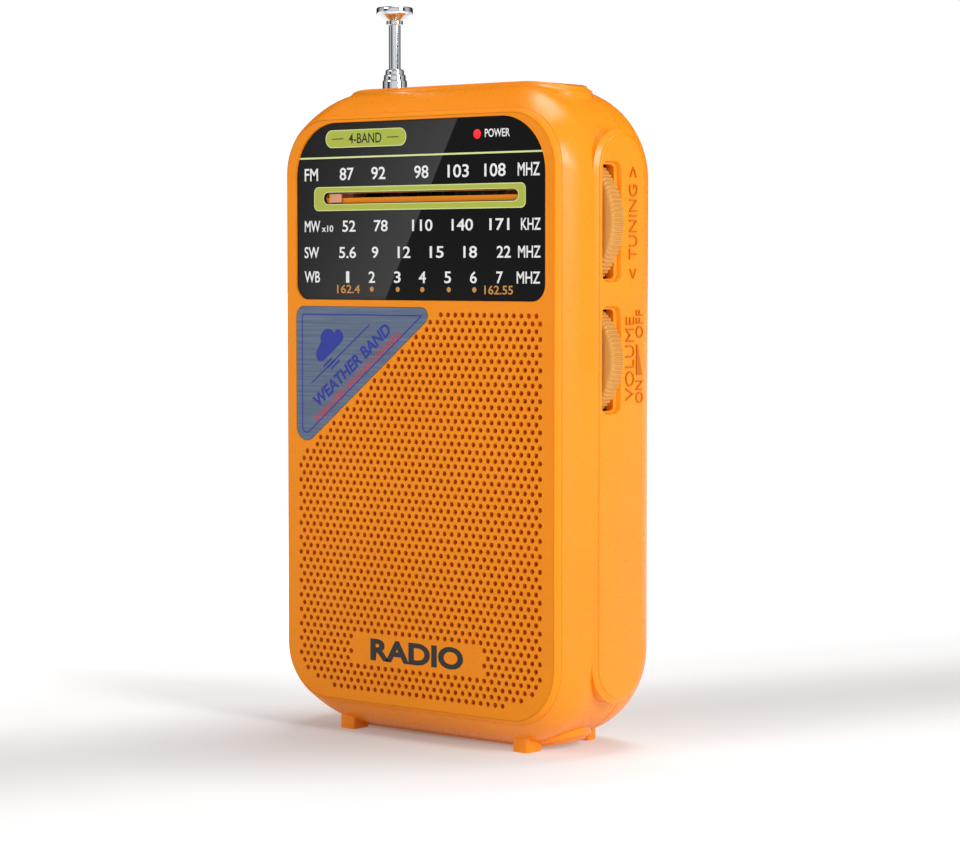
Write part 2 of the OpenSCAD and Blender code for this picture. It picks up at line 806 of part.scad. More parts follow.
module electrolytic_capacitors() {
    color("#20304C")
    for (spot = [[-18, 58], [-9.5, 56], [20, 58], [16, 67], [-20, 70]])
        rod_y(spot[0], around(board_back_y, [0, 7]), spot[1], 3.15);
}

module crystal() {
    color(steel)
    front_plate(around(board_back_y, [0, 3.5])) translate([-12, 88]) stadium(10.2, 4.6);
}

module power_led() {
    z = centre_z + led_z;
    color("#E8202C") {
        rod_y(led_x, [front_y + window_recess, -10.9], z, 0.8);
        rod_y(led_x, [-11, -7], z, 1.5);
    }
    color(steel)
    for (side = [-1, 1])
        block(around(led_x + side * 0.65, [-0.25, 0.25]), [-7.1, board_y], around(z, [-0.25, 0.25]));
}

module ferrite_rod() {
    color("#2B2B2E") rod_x([-12, 28], rod_y_place, rod_z_place, ferrite_r);
}

module rod_coil() {
    color("#B4622C")
    difference() {
        rod_x([2, 18], rod_y_place, rod_z_place, ferrite_r + 0.35);
        rod_x([1, 19], rod_y_place, rod_z_place, ferrite_r + 0.02);
    }
}

module rod_clips() {
    color("#E6E2D4")
    difference() {
        for (x = [-8, 24])
            block(around(x, [-1.2, 1.2]), [board_back_y, rod_y_place + 1.2], around(rod_z_place, [-4, 4]));
        rod_x([-13, 29], rod_y_place, rod_z_place, ferrite_r + 0.02);
    }
}

// ---------- left-hand controls ----------

module band_switch() {
    color(steel)
    difference() {
        block([-30.4, -25.2], [-2.4, board_y], around(switch_z, [-4, switch_travel + 4]));
        block([-31, -28.2], [-0.95, 0.95], around(switch_z, [-1.7, switch_travel + 1.7]));
    }
}

module band_switch_knob() {
    color(wheel_colour)
    difference() {
        union() {
            block([-pad_x - wheel_out, -31.2], [-1.3, 1.3], around(switch_z, [-switch_knob_l / 2, switch_knob_l / 2]));
            block([-31.3, -28.6], [-0.7, 0.7], around(switch_z, [-1.3, 1.3]));
        }
        for (i = [-1 : 1])
            block([-pad_x - wheel_out - 1, -pad_x - wheel_out + 0.35], [-2, 2], around(switch_z + 1.3 * i, [-0.3, 0.3]));
    }
}

module headphone_jack() {
    color(black)
    difference() {
        union() {
            block([-31.4, -19.4], [jack_y - 3, board_y], around(jack_z, [-3, 3]));
            rod_x([-pad_x, -31.3], jack_y, jack_z, 3);
        }
        rod_x([-pad_x - 1, -20.4], jack_y, jack_z, jack_r);
    }
}

// ---------- speaker ----------

module speaker_basket() {
    y = speaker_y;
    color(steel)
    turned_y(0, speaker_z) difference() {
        polygon([[17.6, y + 0.2], [20, y + 0.2], [20, y + 1.1], [18, y + 1.1], [9.6, y + 4.9],
            [3.2, y + 4.9], [3.2, y + 4.2], [9.2, y + 4.2], [17.6, y + 0.6]]);
    }
}

module speaker_cone() {
    y = speaker_y;
    color(black)
    turned_y(0, speaker_z)
        polygon([[19.4, y], [19.4, y + 0.2], [17.2, y + 0.2], [5.2, y + 3.2], [2.8, y + 2.3],
            [0, y + 2], [0, y + 1.7], [2.8, y + 2], [5.2, y + 2.85], [17.2, y]]);
}

module speaker_magnet() {
    color("#9A9DA2") rod_y(0, around(speaker_y, [4.9, 7.2]), speaker_z, 8);
}

module speaker_clips() {
    color(steel)
    for (angle = [90, 210, 330])
        translate([0, 0, speaker_z]) rotate([0, angle - 90, 0]) {
            block([-2.5, 2.5], around(speaker_y, [1.1, 1.6]), [18.7, 22.2]);
            rod_y(0, around(speaker_y, [1.5, 2.2]), 21.2, 1.1);
        }
}

// Two insulated leads from the speaker's tags to the board
module speaker_wires() {
    color("#B02A2A")
    for (side = [-1, 1]) {
        x = side * 1.4;
        block(around(x, [-0.8, 0.8]), around(speaker_y, [4.9, 5.4]), around(speaker_z, [8.3, 9.3]));
        rod_z(x, speaker_y + 6, around(speaker_z, [8.8, 16.8]), 0.5);
        translate([x, speaker_y + 6, speaker_z + 16.8]) sphere(0.5);
        translate([x, speaker_y + 6, speaker_z + 8.8]) sphere(0.5);
        rod_y(x, [speaker_y + 6, board_y], speaker_z + 16.8, 0.5);
    }
}

// ---------- batteries ----------

module battery_cells() {
    color("#7C8084")
    for (i = [0, 1]) mirror([i, 0, 0]) {
        rod_x([-cell_l / 2, cell_l / 2], cell_y, cell_z[i], cell_d / 2);
        rod_x([cell_l / 2 - 0.1, cell_l / 2 + 1.1], cell_y, cell_z[i], 2.75);
    }
}

// A coil about X: rings of wire that follow a helix
module coil(x, r, wire_r, turns) {
    loft([
        for (t = [0 : 1 / 16 : turns])
            [for (a = [0 : 60 : 300]) [
                x[0] + wire_r + (x[1] - x[0] - 2 * wire_r) * t / turns + wire_r * sin(a),
                (r + wire_r * cos(a)) * cos(360 * t),
                (r + wire_r * cos(a)) * sin(360 * t)
            ]]
    ]);
}

module battery_springs() {
    color(steel)
    for (i = [0, 1]) mirror([1 - i, 0, 0])
        translate([0, cell_y, cell_z[i]]) coil([cell_l / 2 + 0.02, plate_x - 0.02], 3.3, 0.35, 3);
}

// A folded plate that presses on a cell's button
module button_contact(z) {
    touch_x = cell_l / 2 + 1.15;
    block([touch_x, touch_x + 0.4], around(cell_y, [-3, 3]), around(z, [-3, 3.6]));
    block([touch_x, plate_x + 0.2], around(cell_y, [-3, 3]), around(z, [3.2, 3.6]));
}

module battery_contacts() {
    plate = [plate_x, plate_x + 0.4];
    wide = around(cell_y, [-3.6, 4.4]);
    color("#D2D4D0") {
        mirror([1, 0, 0]) {
            block(plate, wide, [cell_z[0] - 4.4, cell_z[1] + 4.4]);
            button_contact(cell_z[1]);
        }
        block(plate, wide, around(cell_z[1], [-4.4, 4.4]));
        block(plate, [1.6, board_y], [cell_z[1], 51.9]);
        block(plate, wide, around(cell_z[0], [-4.4, 4.4]));
        block(plate, [-1.7, wide[0] + 0.1], around(cell_z[0], [-4.4, 4.4]));
        block(plate, [-1.7, -0.7], [cell_z[0], 53.3]);
        block(plate, [-1.7, board_y], [52.5, 53.3]);
        button_contact(cell_z[0]);
    }
}

// ---------- aerial ----------

// One section: a tube with its wall ending at the next section's running fit
module aerial_tube(i) {
    color("#D8DADC")
    difference() {
        rod_z(-aerial_x, 0, [aerial_foot_z[i], aerial_top_z[i]], aerial_d[i] / 2);
        rod_z(-aerial_x, 0, [aerial_foot_z[i] + 1, aerial_top_z[i] + 1], aerial_d[i + 1] / 2 + run_gap);
    }
}
module aerial_outer_tube() { aerial_tube(0); }
module aerial_second_tube() { aerial_tube(1); }
module aerial_third_tube() { aerial_tube(2); }

module aerial_tip_rod() {
    color("#D8DADC") rod_z(-aerial_x, 0, [aerial_foot_z[3], aerial_top_z[3]], aerial_d[3] / 2);
}

module aerial_cap() {
    color("#D8DADC")
    translate([-aerial_x, 0, aerial_top_z[3]]) rotate_extrude()
        polygon([[0, 0], [1.48, 0], [1.48, 0.8], [3.05, 1.7], [3.25, 1.9], [3.25, 3],
            [3.05, 3.15], [1.6, 3.27], [0, 3.3]]);
}

module aerial_clip() {
    color(steel)
    difference() {
        union() {
            rod_z(-aerial_x, 0, [52, 57], aerial_d[0] / 2 + 0.4);
            block([clip_screw[0] - 2.6, -aerial_x], [board_y - 0.4, board_y], [52, 57]);
        }
        rod_z(-aerial_x, 0, [51, 58], aerial_d[0] / 2);
        rod_y(clip_screw[0], [board_y - 1, board_y + 1], clip_screw[1], screw_r + 0.05);
    }
}

module aerial_screw() {
    color(steel) {
        rod_y(clip_screw[0], [board_y - 1.6, board_y - 0.4], clip_screw[1], head_r);
        rod_y(clip_screw[0], [board_y - 0.5, board_back_y + 1], clip_screw[1], screw_r);
    }
}

front_shell();
back_shell();
front_panel();
dial_window();
weather_label();
battery_door();
case_screws();
dial_pointer();
pointer_rail();
dial_cord();
cord_pulley();
pulley_pin();
tuning_wheel();
tuning_shaft();
tuning_wheel_screw();
tuning_potentiometer();
volume_wheel();
volume_shaft();
volume_wheel_screw();
volume_potentiometer();
circuit_board();
board_screws();
tuner_chip();
amplifier_chip();
electrolytic_capacitors();
crystal();
power_led();
ferrite_rod();
rod_coil();
rod_clips();
band_switch();
band_switch_knob();
headphone_jack();
speaker_basket();
speaker_cone();
speaker_magnet();
speaker_clips();
speaker_wires();
battery_cells();
battery_springs();
battery_contacts();
aerial_outer_tube();
aerial_second_tube();
aerial_third_tube();
aerial_tip_rod();
aerial_cap();
aerial_clip();
aerial_screw();
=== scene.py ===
import math

import bmesh
import bpy
from mathutils import Matrix, Vector


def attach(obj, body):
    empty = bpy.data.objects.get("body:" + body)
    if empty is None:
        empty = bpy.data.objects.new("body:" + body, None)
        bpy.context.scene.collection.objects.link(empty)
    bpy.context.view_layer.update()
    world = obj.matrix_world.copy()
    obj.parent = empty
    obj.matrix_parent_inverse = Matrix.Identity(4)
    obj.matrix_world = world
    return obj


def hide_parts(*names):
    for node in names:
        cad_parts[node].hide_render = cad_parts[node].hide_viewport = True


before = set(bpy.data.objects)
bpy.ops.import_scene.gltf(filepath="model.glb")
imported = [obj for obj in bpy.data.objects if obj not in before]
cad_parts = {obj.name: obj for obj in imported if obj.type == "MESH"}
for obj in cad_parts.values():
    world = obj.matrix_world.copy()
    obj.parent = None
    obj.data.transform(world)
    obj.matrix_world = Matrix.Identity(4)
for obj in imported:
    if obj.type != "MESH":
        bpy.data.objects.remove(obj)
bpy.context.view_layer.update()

# X is the width, the front faces -Y, Z is up from the floor.
MM = 0.001
CENTRE_Z = 57.0
FRONT_Y = -13.6
RING_Y = -12.6
PANEL_BACK_Y = -11.6
WALL_Y = -10.4
SEAM_Y = 4.0
BACK_Y = 13.6
WALL = 1.6
CASE_W, CASE_H, CASE_R = 33.2, 55.9, 16.0
BEVEL_D, BEVEL_W, BEVEL_H, BEVEL_R = 5.9, 2.1, 4.0, 6.0
BACK_ROUND_D, BACK_ROUND_W = 8.5, 7.0
PAD_X = 34.0
PAD_W, PAD_H = 6.0, 47.35
PLATEAU_W, PLATEAU_RISE = 24.8, 0.75
DROOP_START, DROOP_R = 17.0, 31.0
SEAM_CHAMFER = 0.22
CORNER_STEPS = 20
BEVEL_STEPS = 14
GRILLE_Z = CENTRE_Z - 16.15  # middle of the grille field
WHEEL_Y = (-4.95, -1.55)
WHEEL_GAP = 0.25  # gap between a wheel and its slot
TUNING = (23.5, 89.8, 12.4)
VOLUME = (25.6, 66.7, 10.3)
WINDOW_Y = -13.15
INK = 0.02
AERIAL = (-16.7, 0.0)
SCREWS = ((22.5, 48.3), (-22.5, 48.3), (25.0, -46.5), (-25.0, -46.5))
BOARD_POSTS = ((-12, 80), (6, 78))
SCREW_HEAD_Y = 6.2


# ---------- camera ----------

def add_camera():
    camera = bpy.data.objects.new("camera", bpy.data.cameras.new("camera"))
    camera.data.sensor_width = 36
    camera.data.lens = 105.76
    camera.location = (0.3176, -0.3793, 0.0822)
    camera.rotation_euler = (math.radians(90 - 3.2), 0, math.radians(39.67))
    bpy.context.scene.collection.objects.link(camera)
    bpy.context.scene.camera = camera
    bpy.context.scene.view_settings.view_transform = "Standard"


add_camera()


# ---------- making meshes ----------

def mesh_of(bm):
    """The finished mesh of a bmesh, with its faces outwards."""
    bmesh.ops.recalc_face_normals(bm, faces=bm.faces[:])
    mesh = bpy.data.meshes.new("shape")
    bm.to_mesh(mesh)
    bm.free()
    return mesh


def joined(meshes):
    """Several meshes as one, each still a closed shape of its own."""
    bm = bmesh.new()
    for mesh in meshes:
        bm.from_mesh(mesh)
        bpy.data.meshes.remove(mesh)
    mesh = bpy.data.meshes.new("shape")
    bm.to_mesh(mesh)
    bm.free()
    return mesh


def placed(mesh, *moves):
    for move in moves:
        mesh.transform(move)
    return mesh


def carved(mesh, others, operation="DIFFERENCE"):
    """The mesh with the others cut out of it, or with "UNION" fused to it."""
    bodies = [bpy.data.objects.new("carving", m) for m in [mesh, *others]]
    for body in bodies:
        bpy.context.scene.collection.objects.link(body)
    for body in bodies[1:]:
        cut = bodies[0].modifiers.new("cut", "BOOLEAN")
        cut.object = body
        cut.operation = operation
        cut.solver = "EXACT"
    bpy.context.view_layer.update()
    graph = bpy.context.evaluated_depsgraph_get()
    result = bpy.data.meshes.new_from_object(bodies[0].evaluated_get(graph))
    for body in bodies:
        data = body.data
        bpy.data.objects.remove(body)
        bpy.data.meshes.remove(data)
    return result


def finish(name, mesh, material, body, nodes=(), sharp=35):
    """Makes a mesh in millimetres a piece in metres that rides on a body."""
    mesh.transform(Matrix.Scale(MM, 4))
    mesh.materials.clear()
    mesh.materials.append(material)
    mesh.shade_smooth()
    mesh.set_sharp_from_angle(angle=math.radians(sharp))
    mesh.name = name
    piece = bpy.data.objects.new(name, mesh)
    bpy.context.scene.collection.objects.link(piece)
    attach(piece, body)
    if nodes:
        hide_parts(*nodes)
    return piece


def block(x, y, z):
    bm = bmesh.new()
    bmesh.ops.create_cube(bm, size=1)
    bmesh.ops.scale(bm, verts=bm.verts[:], vec=(x[1] - x[0], y[1] - y[0], z[1] - z[0]))
    bmesh.ops.translate(bm, verts=bm.verts[:],
                        vec=((x[0] + x[1]) / 2, (y[0] + y[1]) / 2, (z[0] + z[1]) / 2))
    return mesh_of(bm)


def turned(profile, place, steps=48):
    """A profile of (radius, height) points spun about Z, then put in its place."""
    bm = bmesh.new()
    points = [bm.verts.new((r, 0, h)) for r, h in profile]
    edges = [bm.edges.new(pair) for pair in zip(points, points[1:])]
    bmesh.ops.spin(bm, geom=points + edges, axis=(0, 0, 1), cent=(0, 0, 0), dvec=(0, 0, 0),
                   angle=math.tau, steps=steps, use_merge=True)
    bmesh.ops.remove_doubles(bm, verts=bm.verts[:], dist=1e-4)
    return placed(mesh_of(bm), place)


def along_y(x, z):
    """Turns the height of a profile to the depth, about a line through (x, z)."""
    return Matrix.Translation((x, 0, z)) @ Matrix.Rotation(-math.pi / 2, 4, "X")


def rod_y(x, y, z, r, steps=32):
    return turned([(0, y[0]), (r, y[0]), (r, y[1]), (0, y[1])], along_y(x, z), steps)


def clamp(value, limit):
    return max(-limit, min(limit, value))


def ring(y, w, h, r, x=0.0, z=0.0):
    """A rounded rectangle of the front view: its depth, half sizes, corner radius and centre."""
    return (y, w, h, r, x, z)


def skin(rings, steps=CORNER_STEPS):
    """A closed solid through a row of rounded rectangles. The first is bevelled out of
    a plain one, and each further one is an extrusion of the face before it."""
    bm = bmesh.new()
    y, w, h, r, x, z = rings[0]
    corners = [bm.verts.new((x + sx * w, y, z + sz * h))
               for sx, sz in ((-1, -1), (1, -1), (1, 1), (-1, 1))]
    bm.faces.new(corners)
    bmesh.ops.bevel(bm, geom=corners, offset=r, offset_type="OFFSET", segments=steps,
                    profile=0.5, affect="VERTICES", material=-1)
    face = bm.faces[:][0]
    for old, new in zip(rings, rings[1:]):
        passed = face
        out = bmesh.ops.extrude_face_region(bm, geom=[face])["geom"]
        face = [g for g in out if isinstance(g, bmesh.types.BMFace)][0]
        if old is not rings[0]:
            bmesh.ops.delete(bm, geom=[passed], context="FACES_ONLY")
        for v in face.verts:
            dx, dz = v.co.x - old[4], v.co.z - old[5]
            core = Vector((clamp(dx, old[1] - old[3]), clamp(dz, old[2] - old[3])))
            turn = (Vector((dx, dz)) - core).normalized()
            v.co = (new[4] + math.copysign(new[1] - new[3], core.x) + turn.x * new[3], new[0],
                    new[5] + math.copysign(new[2] - new[3], core.y) + turn.y * new[3])
    return mesh_of(bm)


def plate(w, h, r, y, x=0.0, z=0.0, steps=8):
    return skin([ring(y[0], w, h, r, x, z), ring(y[1], w, h, r, x, z)], steps)


def arc(x, z, r, start, turn, steps):
    return [(x + r * math.cos(math.radians(start + turn * i / steps)),
             z + r * math.sin(math.radians(start + turn * i / steps))) for i in range(steps + 1)]


def disc(x, z, r, steps=12):
    return arc(x, z, r, 0, 360, steps)[:-1]


def rounded_loop(w, h, r, x=0.0, z=0.0, steps=10):
    spots = ((1, 1, 0), (-1, 1, 90), (-1, -1, 180), (1, -1, 270))
    return [p for sx, sz, start in spots
            for p in arc(x + sx * (w - r), z + sz * (h - r), r, start, 90, steps)]


def stadium(x, z, half_l, r, steps):
    """A slot's outline: two half circles whose centres are half_l to each side of (x, z)."""
    return [p for sx, start in ((1, -90), (-1, 90)) for p in arc(x + sx * half_l, z, r, start, 180, steps)]


def sheet_of(loops, y):
    """A flat face at one depth. The first loop of (x, z) points is its outline, and the
    others are its holes."""
    bm = bmesh.new()
    for loop in loops:
        points = [bm.verts.new((px, y, pz)) for px, pz in loop]
        for a, b in zip(points, points[1:] + points[:1]):
            bm.edges.new((a, b))
    bmesh.ops.triangle_fill(bm, use_beauty=True, use_dissolve=False, edges=bm.edges[:])
    return bm


def pierced_plate(loops, y):
    """A plate between two depths, with holes right through it."""
    bm = sheet_of(loops, y[0])
    out = bmesh.ops.extrude_face_region(bm, geom=bm.faces[:])["geom"]
    moved = [g for g in out if isinstance(g, bmesh.types.BMVert)]
    bmesh.ops.translate(bm, verts=moved, vec=(0, y[1] - y[0], 0))
    return mesh_of(bm)


# ---------- finishes ----------

def linear(hex_colour):
    """An sRGB hex colour as the linear colour that a shader reads."""
    parts = [int(hex_colour[i:i + 2], 16) / 255 for i in (1, 3, 5)]
    return [p / 12.92 if p <= 0.04045 else ((p + 0.055) / 1.055) ** 2.4 for p in parts] + [1]


def add_node(tree, kind, settings=None, **links):
    """Adds a node. Settings are attributes, or values of inputs given by name or number,
    and links go to its inputs, with _ for a space."""
    node = tree.nodes.new("ShaderNode" + kind)
    for key, value in (settings or {}).items():
        if isinstance(key, int) or key in node.inputs:
            node.inputs[key].default_value = value
        else:
            setattr(node, key, value)
    for key, source in links.items():
        name = int(key[1:]) if key[1:].isdigit() else key.replace("_", " ")
        tree.links.new(source, node.inputs[name])
    return node


def new_finish(name, colour, roughness, **sockets):
    """A material with its shader, and where its patterns are read from."""
    material = bpy.data.materials.new(name)
    material.use_nodes = True
    tree = material.node_tree
    shader = tree.nodes["Principled BSDF"]
    shader.inputs["Base Color"].default_value = linear(colour)
    shader.inputs["Roughness"].default_value = roughness
    for key, value in sockets.items():
        shader.inputs[key.replace("_", " ")].default_value = value
    place = add_node(tree, "TexCoord").outputs["Object"]
    return material, tree, shader, place


def vary_colour(tree, shader, factor, colours, low=0.3, high=0.7):
    """Runs the base colour between two hex colours along a factor."""
    ramp = add_node(tree, "ValToRGB", Fac=factor)
    for stop, position, colour in zip(ramp.color_ramp.elements, (low, high), colours):
        stop.position = position
        stop.color = linear(colour)
    tree.links.new(ramp.outputs["Color"], shader.inputs["Base Color"])


def vary_roughness(tree, shader, factor, low, high):
    span = add_node(tree, "MapRange", {"To Min": low, "To Max": high}, Value=factor)
    tree.links.new(span.outputs["Result"], shader.inputs["Roughness"])


def raise_surface(tree, shader, height, depth_mm, strength=1.0):
    bump = add_node(tree, "Bump", {"Strength": strength, "Distance": depth_mm * MM}, Height=height)
    tree.links.new(bump.outputs["Normal"], shader.inputs["Normal"])


def grain(tree, place, size_mm, detail=2.0, stretch=(1, 1, 1)):
    """Noise whose lumps are about size_mm across, stretched along an axis by its factor."""
    where = add_node(tree, "Mapping", {"Scale": [1 / s for s in stretch]}, Vector=place)
    noise = add_node(tree, "TexNoise", {"Scale": 1 / (size_mm * MM), "Detail": detail},
                     Vector=where.outputs["Vector"])
    return noise.outputs["Fac"]


def moulded_plastic(name, colour, shade, roughness, grain_mm, depth_mm, **sockets):
    """Injection moulded plastic: a satin skin with the tool's fine spark-eroded grain, which
    breaks its highlights up, and slow flow marks in its colour."""
    material, tree, shader, place = new_finish(name, colour, roughness, IOR=1.53, **sockets)
    flow = grain(tree, place, 22, 1.0)
    vary_colour(tree, shader, flow, (shade, colour))
    fine = grain(tree, place, grain_mm, 2.0)
    vary_roughness(tree, shader, fine, roughness - 0.05, roughness + 0.07)
    raise_surface(tree, shader, fine, depth_mm)
    return material


def worked_metal(name, colour, shade, roughness, stretch, line_mm, depth_mm):
    """Metal with the lines of drawing, rolling or brushing along its stretched axis."""
    material, tree, shader, place = new_finish(name, colour, roughness, Metallic=1.0)
    lines = grain(tree, place, line_mm, 2.0, stretch)
    vary_colour(tree, shader, lines, (shade, colour), 0.2, 0.8)
    vary_roughness(tree, shader, lines, roughness * 0.7, roughness * 1.4)
    raise_surface(tree, shader, lines, depth_mm)
    return material


def printed_ink(name, colour):
    """Screen printed ink: an even matt film with the mesh's faint mottle."""
    material, tree, shader, place = new_finish(name, colour, 0.45, IOR=1.5)
    mottle = grain(tree, place, 0.3)
    vary_roughness(tree, shader, mottle, 0.38, 0.52)
    raise_surface(tree, shader, mottle, 0.002)
    return material


def dial_acrylic():
    """Black-backed acrylic sheet, polished: a mirror gloss. A fixed paler tint across its
    left part stands in for a reflection, and ends on a slanted line."""
    material, tree, shader, place = new_finish("polished_black_acrylic", "#0A0A0A", 0.09, IOR=1.49,
                                               Specular_IOR_Level=0.12)
    turned_place = add_node(tree, "Mapping", {"vector_type": "TEXTURE",
                            "Location": (9.4 * MM, 0, (CENTRE_Z + 50.2) * MM),
                            "Rotation": (0, math.radians(28.1), 0)}, Vector=place)
    across = add_node(tree, "SeparateXYZ", Vector=turned_place.outputs["Vector"]).outputs["X"]
    side = add_node(tree, "MapRange", {"From Min": -38 * MM, "From Max": 0.0}, Value=across)
    ramp = add_node(tree, "ValToRGB", Fac=side.outputs["Result"])
    stops = ramp.color_ramp.elements
    stops[0].color, stops[1].color = linear("#101010"), linear("#0A0A0A")
    for position, colour in ((0.45, "#262626"), (0.985, "#3E3E3E"), (0.992, "#0A0A0A")):
        stops.new(position).color = linear(colour)
    tree.links.new(ramp.outputs["Color"], shader.inputs["Base Color"])
    raise_surface(tree, shader, grain(tree, place, 9, 0.0), 0.004)
    return material


def label_foil():
    """Brushed aluminium foil label: lines along the width, and a grey-blue lacquer."""
    material, tree, shader, place = new_finish("brushed_foil", "#5D6B7A", 0.42, Metallic=0.2,
                                               Specular_IOR_Level=0.3)
    lines = grain(tree, place, 0.3, 3.0, (40, 1, 1))
    vary_colour(tree, shader, lines, ("#56647A", "#6C7990"), 0.3, 0.7)
    vary_roughness(tree, shader, lines, 0.36, 0.52)
    raise_surface(tree, shader, lines, 0.006)
    return material


def circuit_laminate():
    """Glass laminate under green solder resist: tracks show as paler lines 0.6 mm wide."""
    material, tree, shader, place = new_finish("green_solder_resist", "#1C6636", 0.3, IOR=1.5)
    tracks = add_node(tree, "TexBrick", {
        "Scale": 1 / (6 * MM), "Mortar Size": 0.05,
        "Color1": linear("#17552C"), "Color2": linear("#1C6636"), "Mortar": linear("#2E8A4C")})
    turn = add_node(tree, "Mapping", {"Rotation": (math.pi / 2, 0, 0)}, Vector=place)
    tree.links.new(turn.outputs["Vector"], tracks.inputs["Vector"])
    tree.links.new(tracks.outputs["Color"], shader.inputs["Base Color"])
    raise_surface(tree, shader, tracks.outputs["Fac"], 0.03)
    return material


def wound_wire():
    """Enamelled copper wire, close wound: a rib about every millimetre along the rod."""
    material, tree, shader, place = new_finish("wound_copper_wire", "#B4622C", 0.3, Metallic=0.9)
    ribs = add_node(tree, "TexWave", {"Scale": 0.315 / MM, "bands_direction": "X"}, Vector=place)
    # The colour is painted darker in the grooves between the turns and paler on their crests: painted shade
    # and highlight.
    vary_colour(tree, shader, ribs.outputs["Fac"], ("#6E3413", "#C87844"), 0.0, 1.0)
    raise_surface(tree, shader, ribs.outputs["Fac"], 0.05)
    return material


def braided_cord():
    """Braided nylon dial cord: short slanted strands about 0.3 mm long."""
    material, tree, shader, place = new_finish("braided_nylon", "#E8E4D8", 0.7)
    strands = grain(tree, place, 0.25, 1.0, (2, 1, 1))
    vary_colour(tree, shader, strands, ("#BDB8A8", "#EEEADF"))
    raise_surface(tree, shader, strands, 0.03)
    return material


def cone_paper():
    """Pressed paper pulp: matt, with fibres about 0.6 mm long."""
    material, tree, shader, place = new_finish("pressed_pulp", "#1B1918", 0.92)
    fibres = grain(tree, place, 0.3, 4.0, (3, 1, 1))
    vary_colour(tree, shader, fibres, ("#100F0E", "#2B2825"))
    raise_surface(tree, shader, fibres, 0.03)
    return material


def cell_sleeve():
    """A printed film sleeve on a battery cell: dark, with a copper-coloured band at each end."""
    material, tree, shader, place = new_finish("printed_cell_sleeve", "#2A2D30", 0.28, Metallic=0.3)
    along = add_node(tree, "SeparateXYZ", Vector=place).outputs["X"]
    share = add_node(tree, "MapRange", {"From Min": -25 * MM, "From Max": 25 * MM}, Value=along)
    ramp = add_node(tree, "ValToRGB", Fac=share.outputs["Result"])
    ramp.color_ramp.interpolation = "CONSTANT"
    stops = ramp.color_ramp.elements
    stops[0].color, stops[1].color = linear("#A8ABAE"), linear("#A8ABAE")
    stops[1].position = 0.985
    for position, colour in ((0.02, "#B5713A"), (0.24, "#26292C"), (0.76, "#B5713A")):
        stops.new(position).color = linear(colour)
    tree.links.new(ramp.outputs["Color"], shader.inputs["Base Color"])
    raise_surface(tree, shader, grain(tree, place, 1.2), 0.01)
    return material


FINISH = {
    # Satin ABS in safety orange. Its skin is smooth enough for soft highlights on the corners.
    "case": moulded_plastic("satin_orange_abs", "#F7900F", "#F48A0B", 0.28, 0.55, 0.012,
                            Specular_IOR_Level=0.3, Subsurface_Weight=0.08,
                            Subsurface_Radius=(0.004, 0.002, 0.0008), Subsurface_Scale=0.3),
    # The raised lettering: the same ABS in a darker orange, a painted shade that stands in for the shadows
    # at the letters' edges, so that it reads.
    "lettering": moulded_plastic("orange_abs_painted_shade", "#C96A0C", "#C06409", 0.4, 0.5, 0.006,
                                 Specular_IOR_Level=0.2),
    # The same ABS on the flat panel, whose tool was blasted: a sand-like, duller skin.
    "panel": moulded_plastic("blasted_orange_abs", "#F6900F", "#F38B0B", 0.5, 0.4, 0.045,
                             Specular_IOR_Level=0.2),
    # Tan ABS, moulded in a polished tool.
    "wheel": moulded_plastic("satin_tan_abs", "#CF9547", "#C78B3E", 0.36, 0.6, 0.006,
                             Specular_IOR_Level=0.3),
    # Salmon polystyrene, moulded.
    "pointer": moulded_plastic("salmon_polystyrene", "#DF9C76", "#D5926B", 0.35, 0.5, 0.005),
    # Natural nylon: milky, and slightly waxy.
    "nylon": moulded_plastic("natural_nylon", "#ECE8DA", "#DDD8C8", 0.4, 0.5, 0.006,
                             Subsurface_Weight=0.1, Subsurface_Radius=(0.001, 0.001, 0.001),
                             Subsurface_Scale=0.5),
    # Black epoxy, moulded round the chips, the potentiometers and the socket.
    "component": moulded_plastic("moulded_black_epoxy", "#1B1B1D", "#151516", 0.5, 0.25, 0.01),
    # Clear red epoxy, cast: it glows a little when the set is on.
    "led": moulded_plastic("cast_red_epoxy", "#EC1B2A", "#D81524", 0.12, 2.0, 0.002,
                           Emission_Color=linear("#FF1A28"), Emission_Strength=0.45),
    # Soft red PVC, extruded over the speaker's leads.
    "wire": moulded_plastic("extruded_red_pvc", "#B02A2A", "#9C2222", 0.4, 0.8, 0.01),
    # Blue film, shrunk over the capacitors.
    "sleeve": moulded_plastic("shrunk_blue_sleeve", "#223458", "#1B2A48", 0.25, 1.5, 0.01),
    # Ground ferrite: a dark, dense ceramic.
    "ferrite": moulded_plastic("ground_ferrite", "#303034", "#232326", 0.45, 0.3, 0.02),
    # Chromed brass tube, drawn and buffed: a mirror with faint lines along its length.
    "chrome": worked_metal("chromed_brass", "#E4E6E9", "#C9CCD1", 0.07, (1, 1, 60), 0.2, 0.001),
    # Zinc plated steel, cold formed.
    "steel": worked_metal("zinc_plated_steel", "#C9CCD0", "#A9ADB2", 0.28, (1, 3, 1), 0.4, 0.004),
    # Nickel plated can round the magnet.
    "magnet": worked_metal("nickel_plated_can", "#B4B6BA", "#8E9196", 0.35, (1, 6, 1), 0.5, 0.004),
    # Nickel plated spring strip, rolled.
    "contact": worked_metal("nickel_plated_strip", "#D6D6D0", "#BDBDB5", 0.24, (1, 1, 10),
                            0.3, 0.003),
    "dial": dial_acrylic(),
    "label": label_foil(),
    "board": circuit_laminate(),
    "copper": wound_wire(),
    "cord": braided_cord(),
    "cone": cone_paper(),
    "cell": cell_sleeve(),
}
WHITE_INK = printed_ink("white_ink", "#EDEDED")
LIME_INK = printed_ink("lime_ink", "#AEB83C")
PALE_LIME_INK = printed_ink("pale_lime_ink", "#DDE6A0")
AMBER_INK = printed_ink("amber_ink", "#C98A3C")
BLACK_INK = printed_ink("black_ink", "#161616")
BLUE_INK = printed_ink("blue_ink", "#142A96")
RED_INK = printed_ink("red_ink", "#C0303E")


